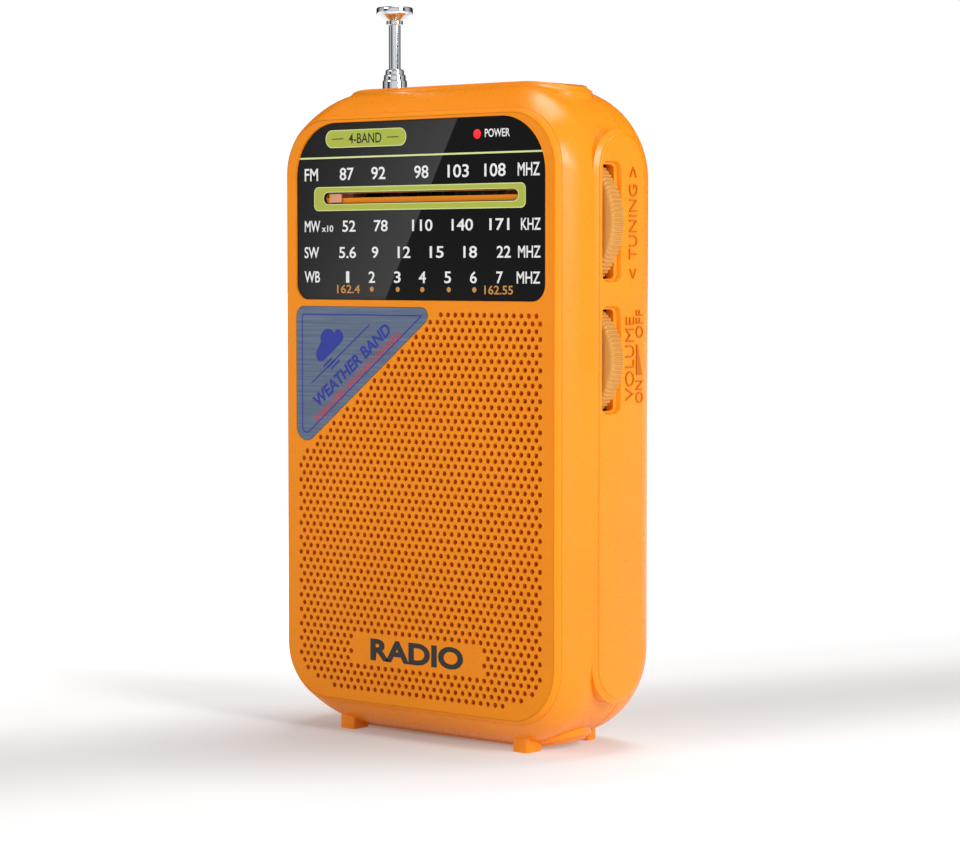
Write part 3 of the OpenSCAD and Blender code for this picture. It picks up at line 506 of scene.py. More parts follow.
# ---------- case shells ----------

def front_rings(inset, start_y, end_y, chamfer=0.0):
    """The front half's outline, drawn in by inset, from its bevel to its seam."""
    rings = []
    for i in range(BEVEL_STEPS + 1):
        k = (1 - i / BEVEL_STEPS) ** 1.8
        rings.append(ring(start_y + BEVEL_D * i / BEVEL_STEPS, CASE_W - inset - BEVEL_W * k,
                          CASE_H - inset - BEVEL_H * k, CASE_R - inset - BEVEL_R * k, 0, CENTRE_Z))
    w, h, r = CASE_W - inset, CASE_H - inset, CASE_R - inset
    if chamfer:
        rings.append(ring(end_y - chamfer, w, h, r, 0, CENTRE_Z))
    rings.append(ring(end_y, w - chamfer, h - chamfer, r - chamfer, 0, CENTRE_Z))
    return rings


def back_rings(inset, start_y, chamfer=0.0):
    """The back half's outline, drawn in by inset, from its seam to its flat back."""
    w, h, r = CASE_W - inset, CASE_H - inset, CASE_R - inset
    rings = [ring(start_y, w - chamfer, h - chamfer, r - chamfer, 0, CENTRE_Z)]
    if chamfer:
        rings.append(ring(start_y + chamfer, w, h, r, 0, CENTRE_Z))
    for i in range(BEVEL_STEPS + 1):
        v = math.sin(math.pi / 2 * i / BEVEL_STEPS)
        k = BACK_ROUND_W * (1 - math.sqrt(1 - v * v))
        y = BACK_Y - BACK_ROUND_D + v * (BACK_ROUND_D - inset)
        rings.append(ring(y, w - k, h - k, r - k, 0, CENTRE_Z))
    return rings


SIDES = {
    "right": Matrix.Translation((0, 0, CENTRE_Z)) @ Matrix.Rotation(math.pi / 2, 4, "Z"),
    "left": Matrix.Translation((0, 0, CENTRE_Z)) @ Matrix.Rotation(-math.pi / 2, 4, "Z"),
    "top": Matrix.Translation((0, 0, CENTRE_Z)) @ Matrix.Rotation(-math.pi / 2, 4, "X"),
    "bottom": Matrix.Translation((0, 0, CENTRE_Z)) @ Matrix.Rotation(math.pi / 2, 4, "X"),
}


def raised_field(half_l, foot, face, grow=0.0):
    """A long pad that stands on the case, with a sloped flank and a rounded edge."""
    edge_r, slope = 0.3, 1.0
    levels = [(foot - 4, slope), (foot - 0.02, slope)]
    for turn in range(0, 91, 15):
        levels.append((face - edge_r + edge_r * math.sin(math.radians(turn)),
                       0.1 - edge_r + edge_r * math.cos(math.radians(turn))))
    return [ring(-x, PAD_W + out + grow, half_l + out + grow, PAD_W + out + grow - 0.05)
            for x, out in levels]


def drooped(field):
    """A plateau whose ends bend down with the case's corners, on a wide arc."""
    bm = bmesh.new()
    bm.from_mesh(field)
    for step in range(10):
        for side in (-1, 1):
            bmesh.ops.bisect_plane(bm, geom=bm.verts[:] + bm.edges[:] + bm.faces[:], dist=1e-5,
                                   plane_co=(side * (DROOP_START + step), 0, 0),
                                   plane_no=(1, 0, 0))
    for v in bm.verts:
        past = max(abs(v.co.x) - DROOP_START, 0)
        v.co.y += DROOP_R - math.sqrt(DROOP_R ** 2 - past ** 2)
    return mesh_of(bm)


def side_fields(grow=0.0):
    """The pads on both sides and the plateaus on the top and the bottom."""
    fields = []
    for side in ("right", "left"):
        fields.append(placed(skin(raised_field(PAD_H, CASE_W, PAD_X, grow), 24), SIDES[side]))
    for side in ("top", "bottom"):
        field = skin(raised_field(PLATEAU_W, CASE_H, CASE_H + PLATEAU_RISE, grow), 24)
        lying = placed(field, Matrix.Rotation(math.pi / 2, 4, "Y"))
        fields.append(placed(drooped(lying), SIDES[side]))
    return fields


def wheel_slot(z, half_l):
    """Cuts a wheel's slot in the right-hand pad, with a mouth that flares to a soft edge."""
    low, high = WHEEL_Y[0] - WHEEL_GAP, WHEEL_Y[1] + WHEEL_GAP
    mid, half = (low + high) / 2, (high - low) / 2
    rings = [ring(-29, half, half_l, 0.8, mid), ring(-33.15, half, half_l, 0.8, mid)]
    # How far the mouth flares to the front, to the back and at its ends, from the inside out
    flares = ((33.25, 0.12, 0.75, 0.3), (33.8, 0.18, 0.9, 0.4), (34.0, 0.36, 1.05, 0.55),
              (34.3, 0.7, 1.4, 0.9))
    for x, front, back, ends in flares:
        rings.append(ring(-x, half + (front + back) / 2, half_l + ends, 0.9 + ends,
                          mid + (back - front) / 2))
    return placed(skin(rings, 8), SIDES["right"], Matrix.Translation((0, 0, z - CENTRE_Z)))


def feet(y, height):
    """Two feet that span a stretch of depth and reach up into the case."""
    pair = []
    for x in (-19.8, 19.8):
        shape = skin([ring(0, 1.65, (y[1] - y[0]) / 2, 0.5), ring(-height, 1.65, (y[1] - y[0]) / 2, 0.5)], 4)
        pair.append(placed(shape, Matrix.Translation((x, (y[0] + y[1]) / 2, 0))
                           @ Matrix.Rotation(-math.pi / 2, 4, "X")))
    return pair


def screw_boss(x, z):
    """A boss for a case screw, with a web towards the side wall."""
    web_end = math.copysign(28.2 if abs(x) < 24 else 28.6, x)
    web = block(sorted((x, web_end)), (-8, SEAM_Y - 3), (z - 0.6, z + 0.6))
    return [rod_y(x, (WALL_Y - 0.4, SEAM_Y), z, 2.5), web]


def build_front_shell():
    solid = carved(skin(front_rings(0, RING_Y, SEAM_Y, SEAM_CHAMFER)), side_fields(), "UNION")
    solid = carved(solid, [skin(front_rings(WALL, WALL_Y, SEAM_Y + 6))])
    posts = [p for x, z in SCREWS for p in screw_boss(x, CENTRE_Z + z)]
    posts += [rod_y(x, (WALL_Y - 0.4, 2.6), z, 2.2) for x, z in BOARD_POSTS]
    solid = carved(solid, posts + feet((-9.7, -5.5), 2.8), "UNION")
    cuts = [plate(30.1, 50.9, 9, (RING_Y - 1, PANEL_BACK_Y), 0, CENTRE_Z, 12),
            plate(28.6, 6.35, 1.5, (PANEL_BACK_Y - 0.1, WALL_Y + 1), 0, CENTRE_Z + 37.65),
            plate(28.2, 34.05, 8.6, (PANEL_BACK_Y - 0.1, WALL_Y + 1), 0, GRILLE_Z),
            rod_y(13.3, (PANEL_BACK_Y - 0.1, WALL_Y + 1), 104.6, 1.65)]
    for (x, z, r), half_l in ((TUNING, 9.525), (VOLUME, 8.5)):
        room = rod_y(x, (WHEEL_Y[0] - WHEEL_GAP, WHEEL_Y[1] + WHEEL_GAP), z, r + 0.5, 96)
        cuts += [room, wheel_slot(z, half_l)]
    cuts.append(rod_y(TUNING[0], (-7.4, -3.25), TUNING[1], 8.15, 64))
    switch_slot = skin([ring(-29, 1.6, 7.3, 0.5), ring(-33.8, 1.6, 7.3, 0.5), ring(-34.2, 2.0, 7.7, 0.9)], 6)
    cuts.append(placed(switch_slot, SIDES["left"], Matrix.Translation((0, 0, 85 - CENTRE_Z))))
    cuts.append(turned([(0, 30), (3.05, 30), (3.05, 33.8), (3.45, 34.2), (0, 34.2)],
                       Matrix.Translation((0, -0.4, 62)) @ Matrix.Rotation(-math.pi / 2, 4, "Y")))
    cuts.append(turned([(0, 109), (2.195, 109), (2.195, 113.5), (2.5, 113.8), (0, 113.8)],
                       Matrix.Translation((*AERIAL, 0))))
    cuts += [rod_y(x, (-6, SEAM_Y + 1), CENTRE_Z + z, 1.0, 16) for x, z in SCREWS]
    cuts += [rod_y(x, (-4, 3.6), z, 1.0, 16) for x, z in BOARD_POSTS]
    finish("front_case_shell", carved(solid, cuts), FINISH["case"], "case",
           ["front_shell"], 32)


def build_back_shell():
    screws = [(x, CENTRE_Z + z) for x, z in SCREWS]
    hollow = carved(skin(back_rings(WALL, SEAM_Y - 1)),
                    [rod_y(x, (0, BACK_Y), z, 3.3) for x, z in screws])
    solid = carved(skin(back_rings(0, SEAM_Y, SEAM_CHAMFER)), [hollow])
    # The lip that lines the shells up, and the wider ring that it grows from
    lip_w, lip_h = CASE_W - WALL - 0.15, CASE_H - WALL - 0.15
    lip, seat = (
        carved(plate(lip_w + out, lip_h + out, r, (low, SEAM_Y + 0.8), 0, CENTRE_Z, 12),
               [plate(lip_w - 0.8, lip_h - 0.8, 13.5, (SEAM_Y - 2, SEAM_Y + 2), 0, CENTRE_Z, 12)])
        for out, r, low in ((0, 14.3, SEAM_Y - 1.2), (0.55, 14.8, SEAM_Y + 0.02)))
    # The battery bay narrows near the back, with the case
    bay = [block((-31, 31), (-3.6, 10.8), (15, 48)),
           block((-28.5, 28.5), (-3.5, 12.2), (15, 48))]
    solid = carved(solid, [lip, seat] + bay + feet((7.2, 9.7), 3.6), "UNION")
    cuts = side_fields(0.06)
    cuts += [block((-30, 30), (-2.6, 10.5), (16, 47)),
             block((-28.5, 28.5), (-2.5, 12), (16.01, 46.99))]
    door_z = 31.5
    cuts.append(skin([ring(11.9, 26, 15.5, 0.4, 0, door_z), ring(13.35, 26, 15.5, 0.4, 0, door_z),
                      ring(13.75, 26.3, 15.8, 0.7, 0, door_z)], 4))
    cuts += [block((side * 18 - 3.4, side * 18 + 3.4), (7, 12), (12.6, 17)) for side in (-1, 1)]
    cuts += [block((29.1, 29.7), y, (46.9, 48.1)) for y in ((-1.9, -0.5), (1.4, 2.7))]
    screw_hole = [(0, 3), (1.15, 3), (1.15, SCREW_HEAD_Y), (2.3, SCREW_HEAD_Y), (2.3, 14), (0, 14)]
    cuts += [turned(screw_hole, along_y(x, z)) for x, z in screws]
    finish("back_case_shell", carved(solid, cuts), FINISH["case"], "case",
           ["back_shell"], 32)


# ---------- front panel ----------

LABEL_SLOPE = 0.787
LABEL_TIP = (2.4, 16.0)
ROWS, ROW_PITCH, HOLE_PITCH, HOLE_R, FIRST_ROW = 52, 1.29, 1.6, 0.46, 17.13
SHORT_ROWS = (25.6, 23.2, 19.2)
SLOT_X = 0.2
NAME_FIELD = (14.7, -44.3, -38.8)  # half width, foot and top of the plain field round the name


def past_label(x, z):
    """Distance of a point from the label's long side, positive on the grille's side."""
    return (LABEL_SLOPE * (x - LABEL_TIP[0]) - (z - LABEL_TIP[1])) / math.hypot(1, LABEL_SLOPE)


def label_loop(grow):
    """The label's outline: a right triangle with rounded corners."""
    left, top, slope = -28.1, 18.3, LABEL_SLOPE
    tilt = math.degrees(math.atan(slope))
    long_side = math.hypot(1, slope)
    r_top, r_tip, r_foot = 1.8, 1.4, 2.4
    tip = (LABEL_TIP[0] + (top - r_tip - LABEL_TIP[1] - r_tip * long_side) / slope, top - r_tip)
    low = (left + r_foot,
           LABEL_TIP[1] + slope * (left + r_foot - LABEL_TIP[0]) + r_foot * long_side)
    rounds = ((*low, r_foot, 180, 90 + tilt), (*tip, r_tip, tilt - 90, 180 - tilt),
              (left + r_top, top - r_top, r_top, 90, 90))
    return [p for x, z, r, start, turn in rounds
            for p in arc(x, CENTRE_Z + z, r + grow, start, turn, 10)]


def window_loop(grow):
    """The dial window's outline, with wide rounds at its upper corners."""
    top, bottom, r_top, r_bottom = 107.4, 76.6, 9.4, 2.7
    corners = ((1, top, -1, r_top, 0), (-1, top, -1, r_top, 90),
               (-1, bottom, 1, r_bottom, 180), (1, bottom, 1, r_bottom, 270))
    return [p for sx, edge, sz, r, start in corners
            for p in arc(sx * (28.2 - r), edge + sz * r, r + grow, start, 90, 14)]


def slot_loop(grow):
    """The pointer's slot in the dial window."""
    return stadium(SLOT_X, 94.3, 21, 0.9 + grow, 12)


def neck_loop():
    """The narrower slot behind the window's, for the pointer's neck."""
    return stadium(SLOT_X, 94.75, 21.5, 0.4, 8)


def grille_spots():
    """Centres of the grille's holes, in rows that are offset by half a pitch."""
    spots = []
    for row in range(ROWS):
        z = FIRST_ROW - row * ROW_PITCH
        reach = SHORT_ROWS[row - ROWS + 3] if row >= ROWS - 3 else (26.4, 27.2)[row % 2]
        for i in range(-17, 18):
            x = (i + (0.5 if row % 2 == 0 else 0)) * HOLE_PITCH
            in_name_field = abs(x) < NAME_FIELD[0] and NAME_FIELD[1] < z < NAME_FIELD[2]
            clear_of_label = past_label(x, z) > HOLE_R + 0.12
            if abs(x) < reach + 0.01 and clear_of_label and not in_name_field:
                spots.append((x, CENTRE_Z + z))
    return spots


def build_front_panel():
    holes = [disc(x, z, HOLE_R) for x, z in grille_spots()]
    edge = rounded_loop(30.2, 51, 9.2, 0, CENTRE_Z, 14)
    face = pierced_plate([edge, window_loop(0.1), label_loop(0.08)] + holes, (FRONT_Y, RING_Y))
    rim = skin([ring(y, 30.2 + out, 51 + out, 9.2 + out, 0, CENTRE_Z) for y, out in
                ((FRONT_Y, 0), (FRONT_Y + 0.08, 0.14), (RING_Y - 0.1, 0.77), (RING_Y, 0.8))], 14)
    rim = carved(rim, [plate(30.15, 50.95, 9.15, (FRONT_Y - 1, RING_Y + 1), 0, CENTRE_Z, 14)])
    label_floor = pierced_plate([label_loop(0.12)], (FRONT_Y + 0.27, RING_Y))
    backing = pierced_plate([rounded_loop(30, 50.8, 9, 0, CENTRE_Z, 12),
                             rounded_loop(28.3, 34.15, 8.7, 0, GRILLE_Z),
                             neck_loop(), disc(13.3, 104.6, 0.85, 24)], (RING_Y, PANEL_BACK_Y))
    # Rail posts, pulley post, speaker ring, and the ears beside the speaker
    posts = [block((x - 1, x + 1), (PANEL_BACK_Y - 0.2, -8), (89.7, 92.7)) for x in (-27.2, 27.2)]
    posts.append(rod_y(-25.5, (PANEL_BACK_Y - 0.2, -7.7), 95.15, 2))
    ring_section = [(20.15, -11.4), (22.35, -11.4), (22.35, -10.4), (20.15, -10.4), (20.15, -11.4)]
    posts.append(turned(ring_section, along_y(0, 35), 64))
    posts += [block((x - 3, x + 3), (RING_Y, -10.5), (34, 36)) for x in (-25.1, 25.1)]
    posts += [block((x - 0.5, x + 0.5), (RING_Y, PANEL_BACK_Y), (34, 36)) for x in (-28.4, 28.4)]
    finish("grille_panel", joined([face, rim, label_floor, backing] + posts), FINISH["panel"],
           "case", ["front_panel"], 28)


# ---------- print ----------

def words_mesh(words, weight):
    """Lettering as a thin flat solid in the XY plane."""
    text = bpy.data.curves.new("words", "FONT")
    text.body = words
    text.size = 10
    text.offset = weight
    text.extrude = 0.5
    text.resolution_u = 4
    carrier = bpy.data.objects.new("words", text)
    mesh = bpy.data.meshes.new_from_object(carrier)
    bpy.data.objects.remove(carrier)
    return mesh


def fitted(words, size, thick, weight):
    """Lettering centred on the origin, made to fill a width and a height, facing the front."""
    mesh = words_mesh(words, weight)
    spans = [(min(v.co[i] for v in mesh.vertices), max(v.co[i] for v in mesh.vertices))
             for i in range(3)]
    mesh.transform(Matrix.Translation([-(a + b) / 2 for a, b in spans]))
    scale = [size[0] / (spans[0][1] - spans[0][0]), size[1] / (spans[1][1] - spans[1][0]), thick]
    return placed(mesh, Matrix.Diagonal((*scale, 1)), Matrix.Rotation(math.pi / 2, 4, "X"))


def print_word(words, x, z, height, y, weight=0.12):
    """One word of a dial row, from x[0] to x[1], centred on a height above the case centre."""
    mesh = fitted(words, (x[1] - x[0], height), INK, weight)
    return placed(mesh, Matrix.Translation(((x[0] + x[1]) / 2, y - INK / 2, CENTRE_Z + z)))


def film(loops, y, thick=INK):
    """A printed shape: the first loop is its outline, the others are left open."""
    return pierced_plate(loops, (y - thick, y))


def stripe(start, end, width, y):
    """A straight printed line between two points of the front view."""
    a, b = Vector(start), Vector(end)
    across = (b - a).orthogonal().normalized() * width / 2
    corners = [a - across, b - across, b + across, a + across]
    return film([[(c.x, CENTRE_Z + c.y) for c in corners]], y)


def build_print(name, meshes, ink):
    finish(name, joined(meshes), ink, "case")


# Rows of the dial: height above the case centre, height of the letters, and each word's span
DIAL_ROWS = (
    (41.5, 2.2, (("FM", -26.4, -23.2), ("87", -18, -14.7), ("92", -10.6, -7.3), ("98", -0.7, 2.5),
                 ("103", 6.8, 11.5), ("108", 14.9, 19.5), ("MHZ", 22.1, 26.8))),
    (32.4, 2.0, (("MW", -26.4, -22.7), ("52", -17.4, -14.3), ("78", -10, -6.8), ("110", -1.2, 3.4),
                 ("140", 7.7, 12.4), ("171", 16, 20.3), ("KHZ", 22.8, 27))),
    (27.8, 2.0, (("SW", -26.5, -23), ("5.6", -18.2, -14.2), ("9", -10.5, -9), ("12", -4.5, -1.6),
                 ("15", 2.8, 5.9), ("18", 10.3, 13.3), ("22", 17.6, 20.6), ("MHZ", 22.2, 27))),
    (23.5, 2.0, (("WB", -26.5, -22.8), ("1", -16.55, -15.8), ("2", -11.25, -9.75),
                 ("3", -5.35, -3.85), ("4", 0.3, 1.9), ("5", 6.05, 7.55), ("6", 11.75, 13.25),
                 ("7", 17.5, 18.9), ("MHZ", 21.9, 26.9))),
)


def build_dial_print():
    y = WINDOW_Y
    white = [print_word(word, (x0, x1), z, height, y)
             for z, height, row in DIAL_ROWS for word, x0, x1 in row]
    white.append(print_word("POWER", (15, 20.4), 47.7, 1.4, y))
    white.append(print_word("x10", (-22.3, -19.6), 32.0, 1.15, y))
    build_print("dial_white_print", white, WHITE_INK)
    amber_z = 21.4
    amber = [print_word("162.4", (-18.7, -13.3), amber_z, 1.5, y),
             print_word("162.55", (14.9, 21.1), amber_z, 1.5, y)]
    amber += [film([disc(x, CENTRE_Z + amber_z, 0.45, 20)], y)
              for x in (-10.5, -4.5, 1.1, 7.05, 12.7)]
    build_print("dial_amber_print", amber, AMBER_INK)
    badge_z, frame_z, outline = 47.65, 37.2, 0.012
    pill, pill_inside = (rounded_loop(9.4 - inset, 1.55 - inset, 1.5 - inset, -11.9, CENTRE_Z + badge_z)
                         for inset in (0, 0.14))
    edge, edge_inside = (rounded_loop(23.95 - inset, 2.1 - inset, 1.0 - inset, -0.15, CENTRE_Z + frame_z)
                         for inset in (0, 0.15))
    build_print("dial_lime_print", [film([pill], y), film([edge, slot_loop(0.12)], y)], LIME_INK)
    pale = [film([pill, pill_inside], y - INK, outline),
            film([edge, edge_inside], y - INK, outline),
            film([slot_loop(0.24), slot_loop(0.12)], y - INK, outline),
            stripe((-27.9, 44.4), (28.1, 44.4), 0.3, y)]
    build_print("dial_pale_lime_print", pale, PALE_LIME_INK)
    dark = [print_word("4-BAND", (-15.8, -8.2), badge_z, 1.75, y - INK, 0.1)]
    dark += [stripe((x - 1.3, badge_z), (x + 1.3, badge_z), 0.16, y - INK) for x in (-18.4, -5.6)]
    build_print("dial_black_print", dark, BLACK_INK)


def on_label(mesh, along, across, y):
    """Lays a front-facing mesh on the label, along its long side. The place is measured from
    the long side's middle, inwards."""
    tilt = math.atan(LABEL_SLOPE)
    x = -12.5
    z = LABEL_TIP[1] + LABEL_SLOPE * (x - LABEL_TIP[0])
    place = Matrix.Translation((x, y, CENTRE_Z + z)) @ Matrix.Rotation(-tilt, 4, "Y")
    return placed(mesh, place @ Matrix.Translation((along, 0, across)))


def build_label_print():
    y = FRONT_Y
    blue = [film([label_loop(-1.28), label_loop(-1.5)], y),
            stripe((-24.5, 4.7), (-10.7, 15.2), 0.22, y),
            on_label(fitted("WEATHER BAND", (22.2, 2.3), INK, 0.3), 0.4, 4.45, y - INK / 2)]
    # A cloud over three bars
    cloud = [*arc(-1.9, 0.9, 0.9, 110, 160, 8), *arc(1.9, 0.95, 0.95, -90, 160, 8),
             *arc(0.35, 1.75, 1.35, -5, 165, 12)]
    bars = [rounded_loop(0.95, 0.14, 0.13, -1.6 + 0.45 * i, -0.6 - 0.52 * i, 3) for i in range(3)]
    larger = Matrix.Diagonal((1.35, 1, 1.35, 1))
    blue += [on_label(placed(film([loop], 0), larger), -1.6, 9.1, y) for loop in [cloud, *bars]]
    build_print("label_blue_print", blue, BLUE_INK)
    red = fitted("SEVEN FIXED WEATHER CHANNELS", (25.5, 1.15), INK, 0.15)
    build_print("label_red_print", [on_label(red, 0.2, 2.05, y - INK / 2)], RED_INK)


def build_name_print():
    words = print_word("RADIO", (-10.6, 10.6), -41.55, 3.9, FRONT_Y, 0.4)
    build_print("panel_black_print", [words], BLACK_INK)


# Turns a drawing of the front to the right-hand pad, where lettering runs upwards
UPWARDS = Matrix(((0, -1, 0, 0), (0, 0, -1, 0), (1, 0, 0, 0), (0, 0, 0, 1)))
RAISED = 0.24
# Words on the right-hand pad, each within a stretch of depth and one of height
SIDE_WORDS = (
    ("TUNING", (1.75, 3.95), (83.5, 96.1)), ("<", (1.9, 3.8), (80.3, 82.0)),
    (">", (1.9, 3.8), (97.3, 99.0)), ("VOLUME", (0.9, 3.2), (59.8, 73.9)),
    ("ON", (3.75, 5.7), (59.3, 63.1)), ("OFF", (3.75, 5.7), (70.3, 75.0)),
)


def on_pad(mesh, y, z):
    """Sets a front-facing mesh on the right-hand pad, 0.03 mm into its face."""
    return placed(mesh, UPWARDS, Matrix.Translation((PAD_X + RAISED / 2 - 0.03, y, z)))


def build_side_lettering():
    raised = [on_pad(fitted(words, (z[1] - z[0], y[1] - y[0]), RAISED, -0.1),
                     (y[0] + y[1]) / 2, (z[0] + z[1]) / 2) for words, y, z in SIDE_WORDS]
    wedge = [(-2.6, -0.8), (2.6, 0.5), (2.6, 0.8), (-2.6, 0.8)]
    raised.append(on_pad(pierced_plate([wedge], (-RAISED / 2, RAISED / 2)), 4.7, 66.6))
    finish("side_lettering", joined(raised), FINISH["lettering"], "case")


# ---------- thumbwheels ----------

def knurled_disc(r, levels):
    """A disc with fine teeth. Each level gives a depth, how far it is drawn in and how deep
    its teeth are. Four points make a tooth: two on its crest and two in its valley."""
    count = 4 * round(math.tau * r / 0.78)
    bm = bmesh.new()
    bmesh.ops.create_circle(bm, cap_ends=True, segments=count, radius=r)
    face = bm.faces[:][0]
    for n, (y, drawn_in, tooth) in enumerate(levels):
        passed = face
        if n:
            out = bmesh.ops.extrude_face_region(bm, geom=[face])["geom"]
            face = [g for g in out if isinstance(g, bmesh.types.BMFace)][0]
        if n > 1:
            bmesh.ops.delete(bm, geom=[passed], context="FACES_ONLY")
        for v in face.verts:
            turn = math.atan2(v.co.y, v.co.x)
            valley = round(turn / math.tau * count) % 4 > 1
            out_r = r - drawn_in - (tooth if valley else 0)
            v.co = (out_r * math.cos(turn), out_r * math.sin(turn), y)
    return mesh_of(bm)


def build_wheel(name, spot, drum, body, nodes):
    x, z, r = spot
    front, back = WHEEL_Y
    rounding = ((0, 0.75, 0), (0.1, 0.45, 0.04), (0.4, 0.08, 0.24), (0.6, 0, 0.26))
    levels = [(front + y, drawn_in, tooth) for y, drawn_in, tooth in rounding]
    levels += [(back - y, drawn_in, tooth) for y, drawn_in, tooth in reversed(rounding)]
    hub_y = drum[0][1]
    wheel = placed(knurled_disc(r, levels), along_y(x, z))
    wheel = carved(wheel, [turned(drum, along_y(x, z), 64)], "UNION")
    wheel = carved(wheel, [rod_y(x, (hub_y - 1, back + 1), z, 1.5),
                           rod_y(x, (hub_y - 1, hub_y + 0.8), z, 2.4)])
    finish(name, wheel, FINISH["wheel"], body, nodes, 40)


# ---------- small parts ----------

def build_screws():
    """Case screws with a domed head and a cross recess."""
    screws = []
    for x, z in SCREWS:
        shank = turned([(0, -5.5), (0.6, -5.5), (0.95, -4.4), (0.95, SCREW_HEAD_Y),
                        (2.0, SCREW_HEAD_Y), (2.0, 6.85), (1.8, 7.2), (1.3, 7.5), (0.6, 7.67),
                        (0, 7.7)], along_y(x, CENTRE_Z + z))
        slots = [block((x - w, x + w), (6.7, 8), (CENTRE_Z + z - h, CENTRE_Z + z + h))
                 for w, h in ((0.25, 1.1), (1.1, 0.25))]
        screws.append(carved(shank, slots))
    finish("case_screw_set", joined(screws), FINISH["steel"], "case", ["case_screws"], 35)


def softened(node, radius):
    """A copy of a CAD node, its faces merged and its edges rounded."""
    bm = bmesh.new()
    bm.from_mesh(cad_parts[node].data)
    bmesh.ops.scale(bm, verts=bm.verts[:], vec=(1 / MM, 1 / MM, 1 / MM))
    bmesh.ops.remove_doubles(bm, verts=bm.verts[:], dist=1e-3)
    bmesh.ops.dissolve_limit(bm, angle_limit=math.radians(1), verts=bm.verts[:], edges=bm.edges[:])
    edges = [e for e in bm.edges if e.calc_face_angle(0) > math.radians(35)]
    bmesh.ops.bevel(bm, geom=edges, offset=radius, offset_type="OFFSET", segments=3, profile=0.5,
                    affect="EDGES", clamp_overlap=True, material=-1)
    return mesh_of(bm)


def build_softened_parts():
    for name, node, radius, slot, body in (
            ("battery_door_cover", "battery_door", 0.22, "case", "door"),
            ("band_switch_slider", "band_switch_knob", 0.12, "wheel", "band_knob"),
            ("dial_pointer_slide", "dial_pointer", 0.12, "pointer", "pointer"),
            ("headphone_socket", "headphone_jack", 0.12, "component", "case")):
        finish(name, softened(node, radius), FINISH[slot], body, [node], 35)


# ---------- aerial ----------

def build_aerial():
    axis = Matrix.Translation((*AERIAL, 0))
    radii = (2.175, 1.95, 1.65, 1.05)
    tops = (115.45, 116.45, 117.4, 125.2)
    feet_z = (50, 51.5, 53, 54.5)
    names = (("aerial_fixed_tube", "case", "aerial_outer_tube"),
             ("aerial_sliding_tube_a", "aerial_second", "aerial_second_tube"),
             ("aerial_sliding_tube_b", "aerial_third", "aerial_third_tube"))
    lip_h = 0.4
    for i, (name, body, node) in enumerate(names):
        r, bore, top, low = radii[i], radii[i + 1] + 0.05, tops[i], feet_z[i]
        roll = (r - bore) * 0.8
        profile = [(0, low), (r, low), (r, top - lip_h)]
        for turn in (22, 45, 68, 90):
            profile.append((r - roll + roll * math.cos(math.radians(turn)),
                            top - lip_h + lip_h * math.sin(math.radians(turn))))
        profile += [(bore, top), (bore, low + 1), (0, low + 1)]
        finish(name, turned(profile, axis, 64), FINISH["chrome"], body, [node], 35)
    low, top = feet_z[3], tops[3]
    rod = [(0, low), (0.95, low), (1.05, low + 0.1), (1.05, top), (0, top)]
    finish("aerial_tip", turned(rod, axis, 48), FINISH["chrome"], "aerial_tip",
           ["aerial_tip_rod"], 35)
    cap = [(0, 0), (1.3, 0), (1.48, 0.12), (1.48, 0.75), (1.62, 0.92), (2.95, 1.62), (3.14, 1.76),
           (3.25, 2.0), (3.25, 2.85), (3.2, 3.0), (3.05, 3.12), (2.2, 3.22), (1.1, 3.28), (0, 3.3)]
    finish("aerial_end_cap", turned(cap, axis @ Matrix.Translation((0, 0, top)), 64),
           FINISH["chrome"], "aerial_tip", ["aerial_cap"], 35)


# ---------- finishes of the CAD nodes that stay ----------

KEPT_NODES = {
    "dial": ["dial_window"],
    "label": ["weather_label"],
    "steel": ["pointer_rail", "pulley_pin", "tuning_shaft", "volume_shaft", "tuning_wheel_screw",
              "volume_wheel_screw", "board_screws", "crystal", "band_switch", "speaker_basket",
              "speaker_clips", "battery_springs", "aerial_clip", "aerial_screw"],
    "cord": ["dial_cord"],
    "nylon": ["cord_pulley", "rod_clips"],
    "component": ["tuning_potentiometer", "volume_potentiometer", "tuner_chip", "amplifier_chip"],
    "board": ["circuit_board"],
    "sleeve": ["electrolytic_capacitors"],
    "led": ["power_led"],
    "ferrite": ["ferrite_rod"],
    "copper": ["rod_coil"],
    "cone": ["speaker_cone"],
    "magnet": ["speaker_magnet"],
    "wire": ["speaker_wires"],
    "cell": ["battery_cells"],
    "contact": ["battery_contacts"],
}


def finish_kept_nodes():
    for slot, nodes in KEPT_NODES.items():
        for node in nodes:
            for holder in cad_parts[node].material_slots:
                holder.material = FINISH[slot]


# ---------- floor and light ----------

FAR_SIDE = (-0.638, 0.770, 0.0)  # the far side of the set, where the flags stand
PAINTED_SHADE_HEADING = (-1.023, 0.451, 0.0)  # the way the painted shade on the paper runs
AMBIENT = 0.25


def grey(value):
    return (value, value, value, 1)


def along(tree, place, direction, low, high):
    """How far a place lies along a direction, as a share of the way from low to high."""
    reach = add_node(tree, "VectorMath", {"operation": "DOT_PRODUCT", 1: direction}, _0=place)
    return add_node(tree, "MapRange", {"From Min": low, "From Max": high},
                    Value=reach.outputs["Value"]).outputs["Result"]


def grey_ramp(tree, factor, ends, between):
    ramp = add_node(tree, "ValToRGB", Fac=factor)
    stops = ramp.color_ramp.elements
    stops[0].color, stops[1].color = grey(ends[0]), grey(ends[1])
    for position, value in between:
        stops.new(position).color = grey(value)
    return ramp


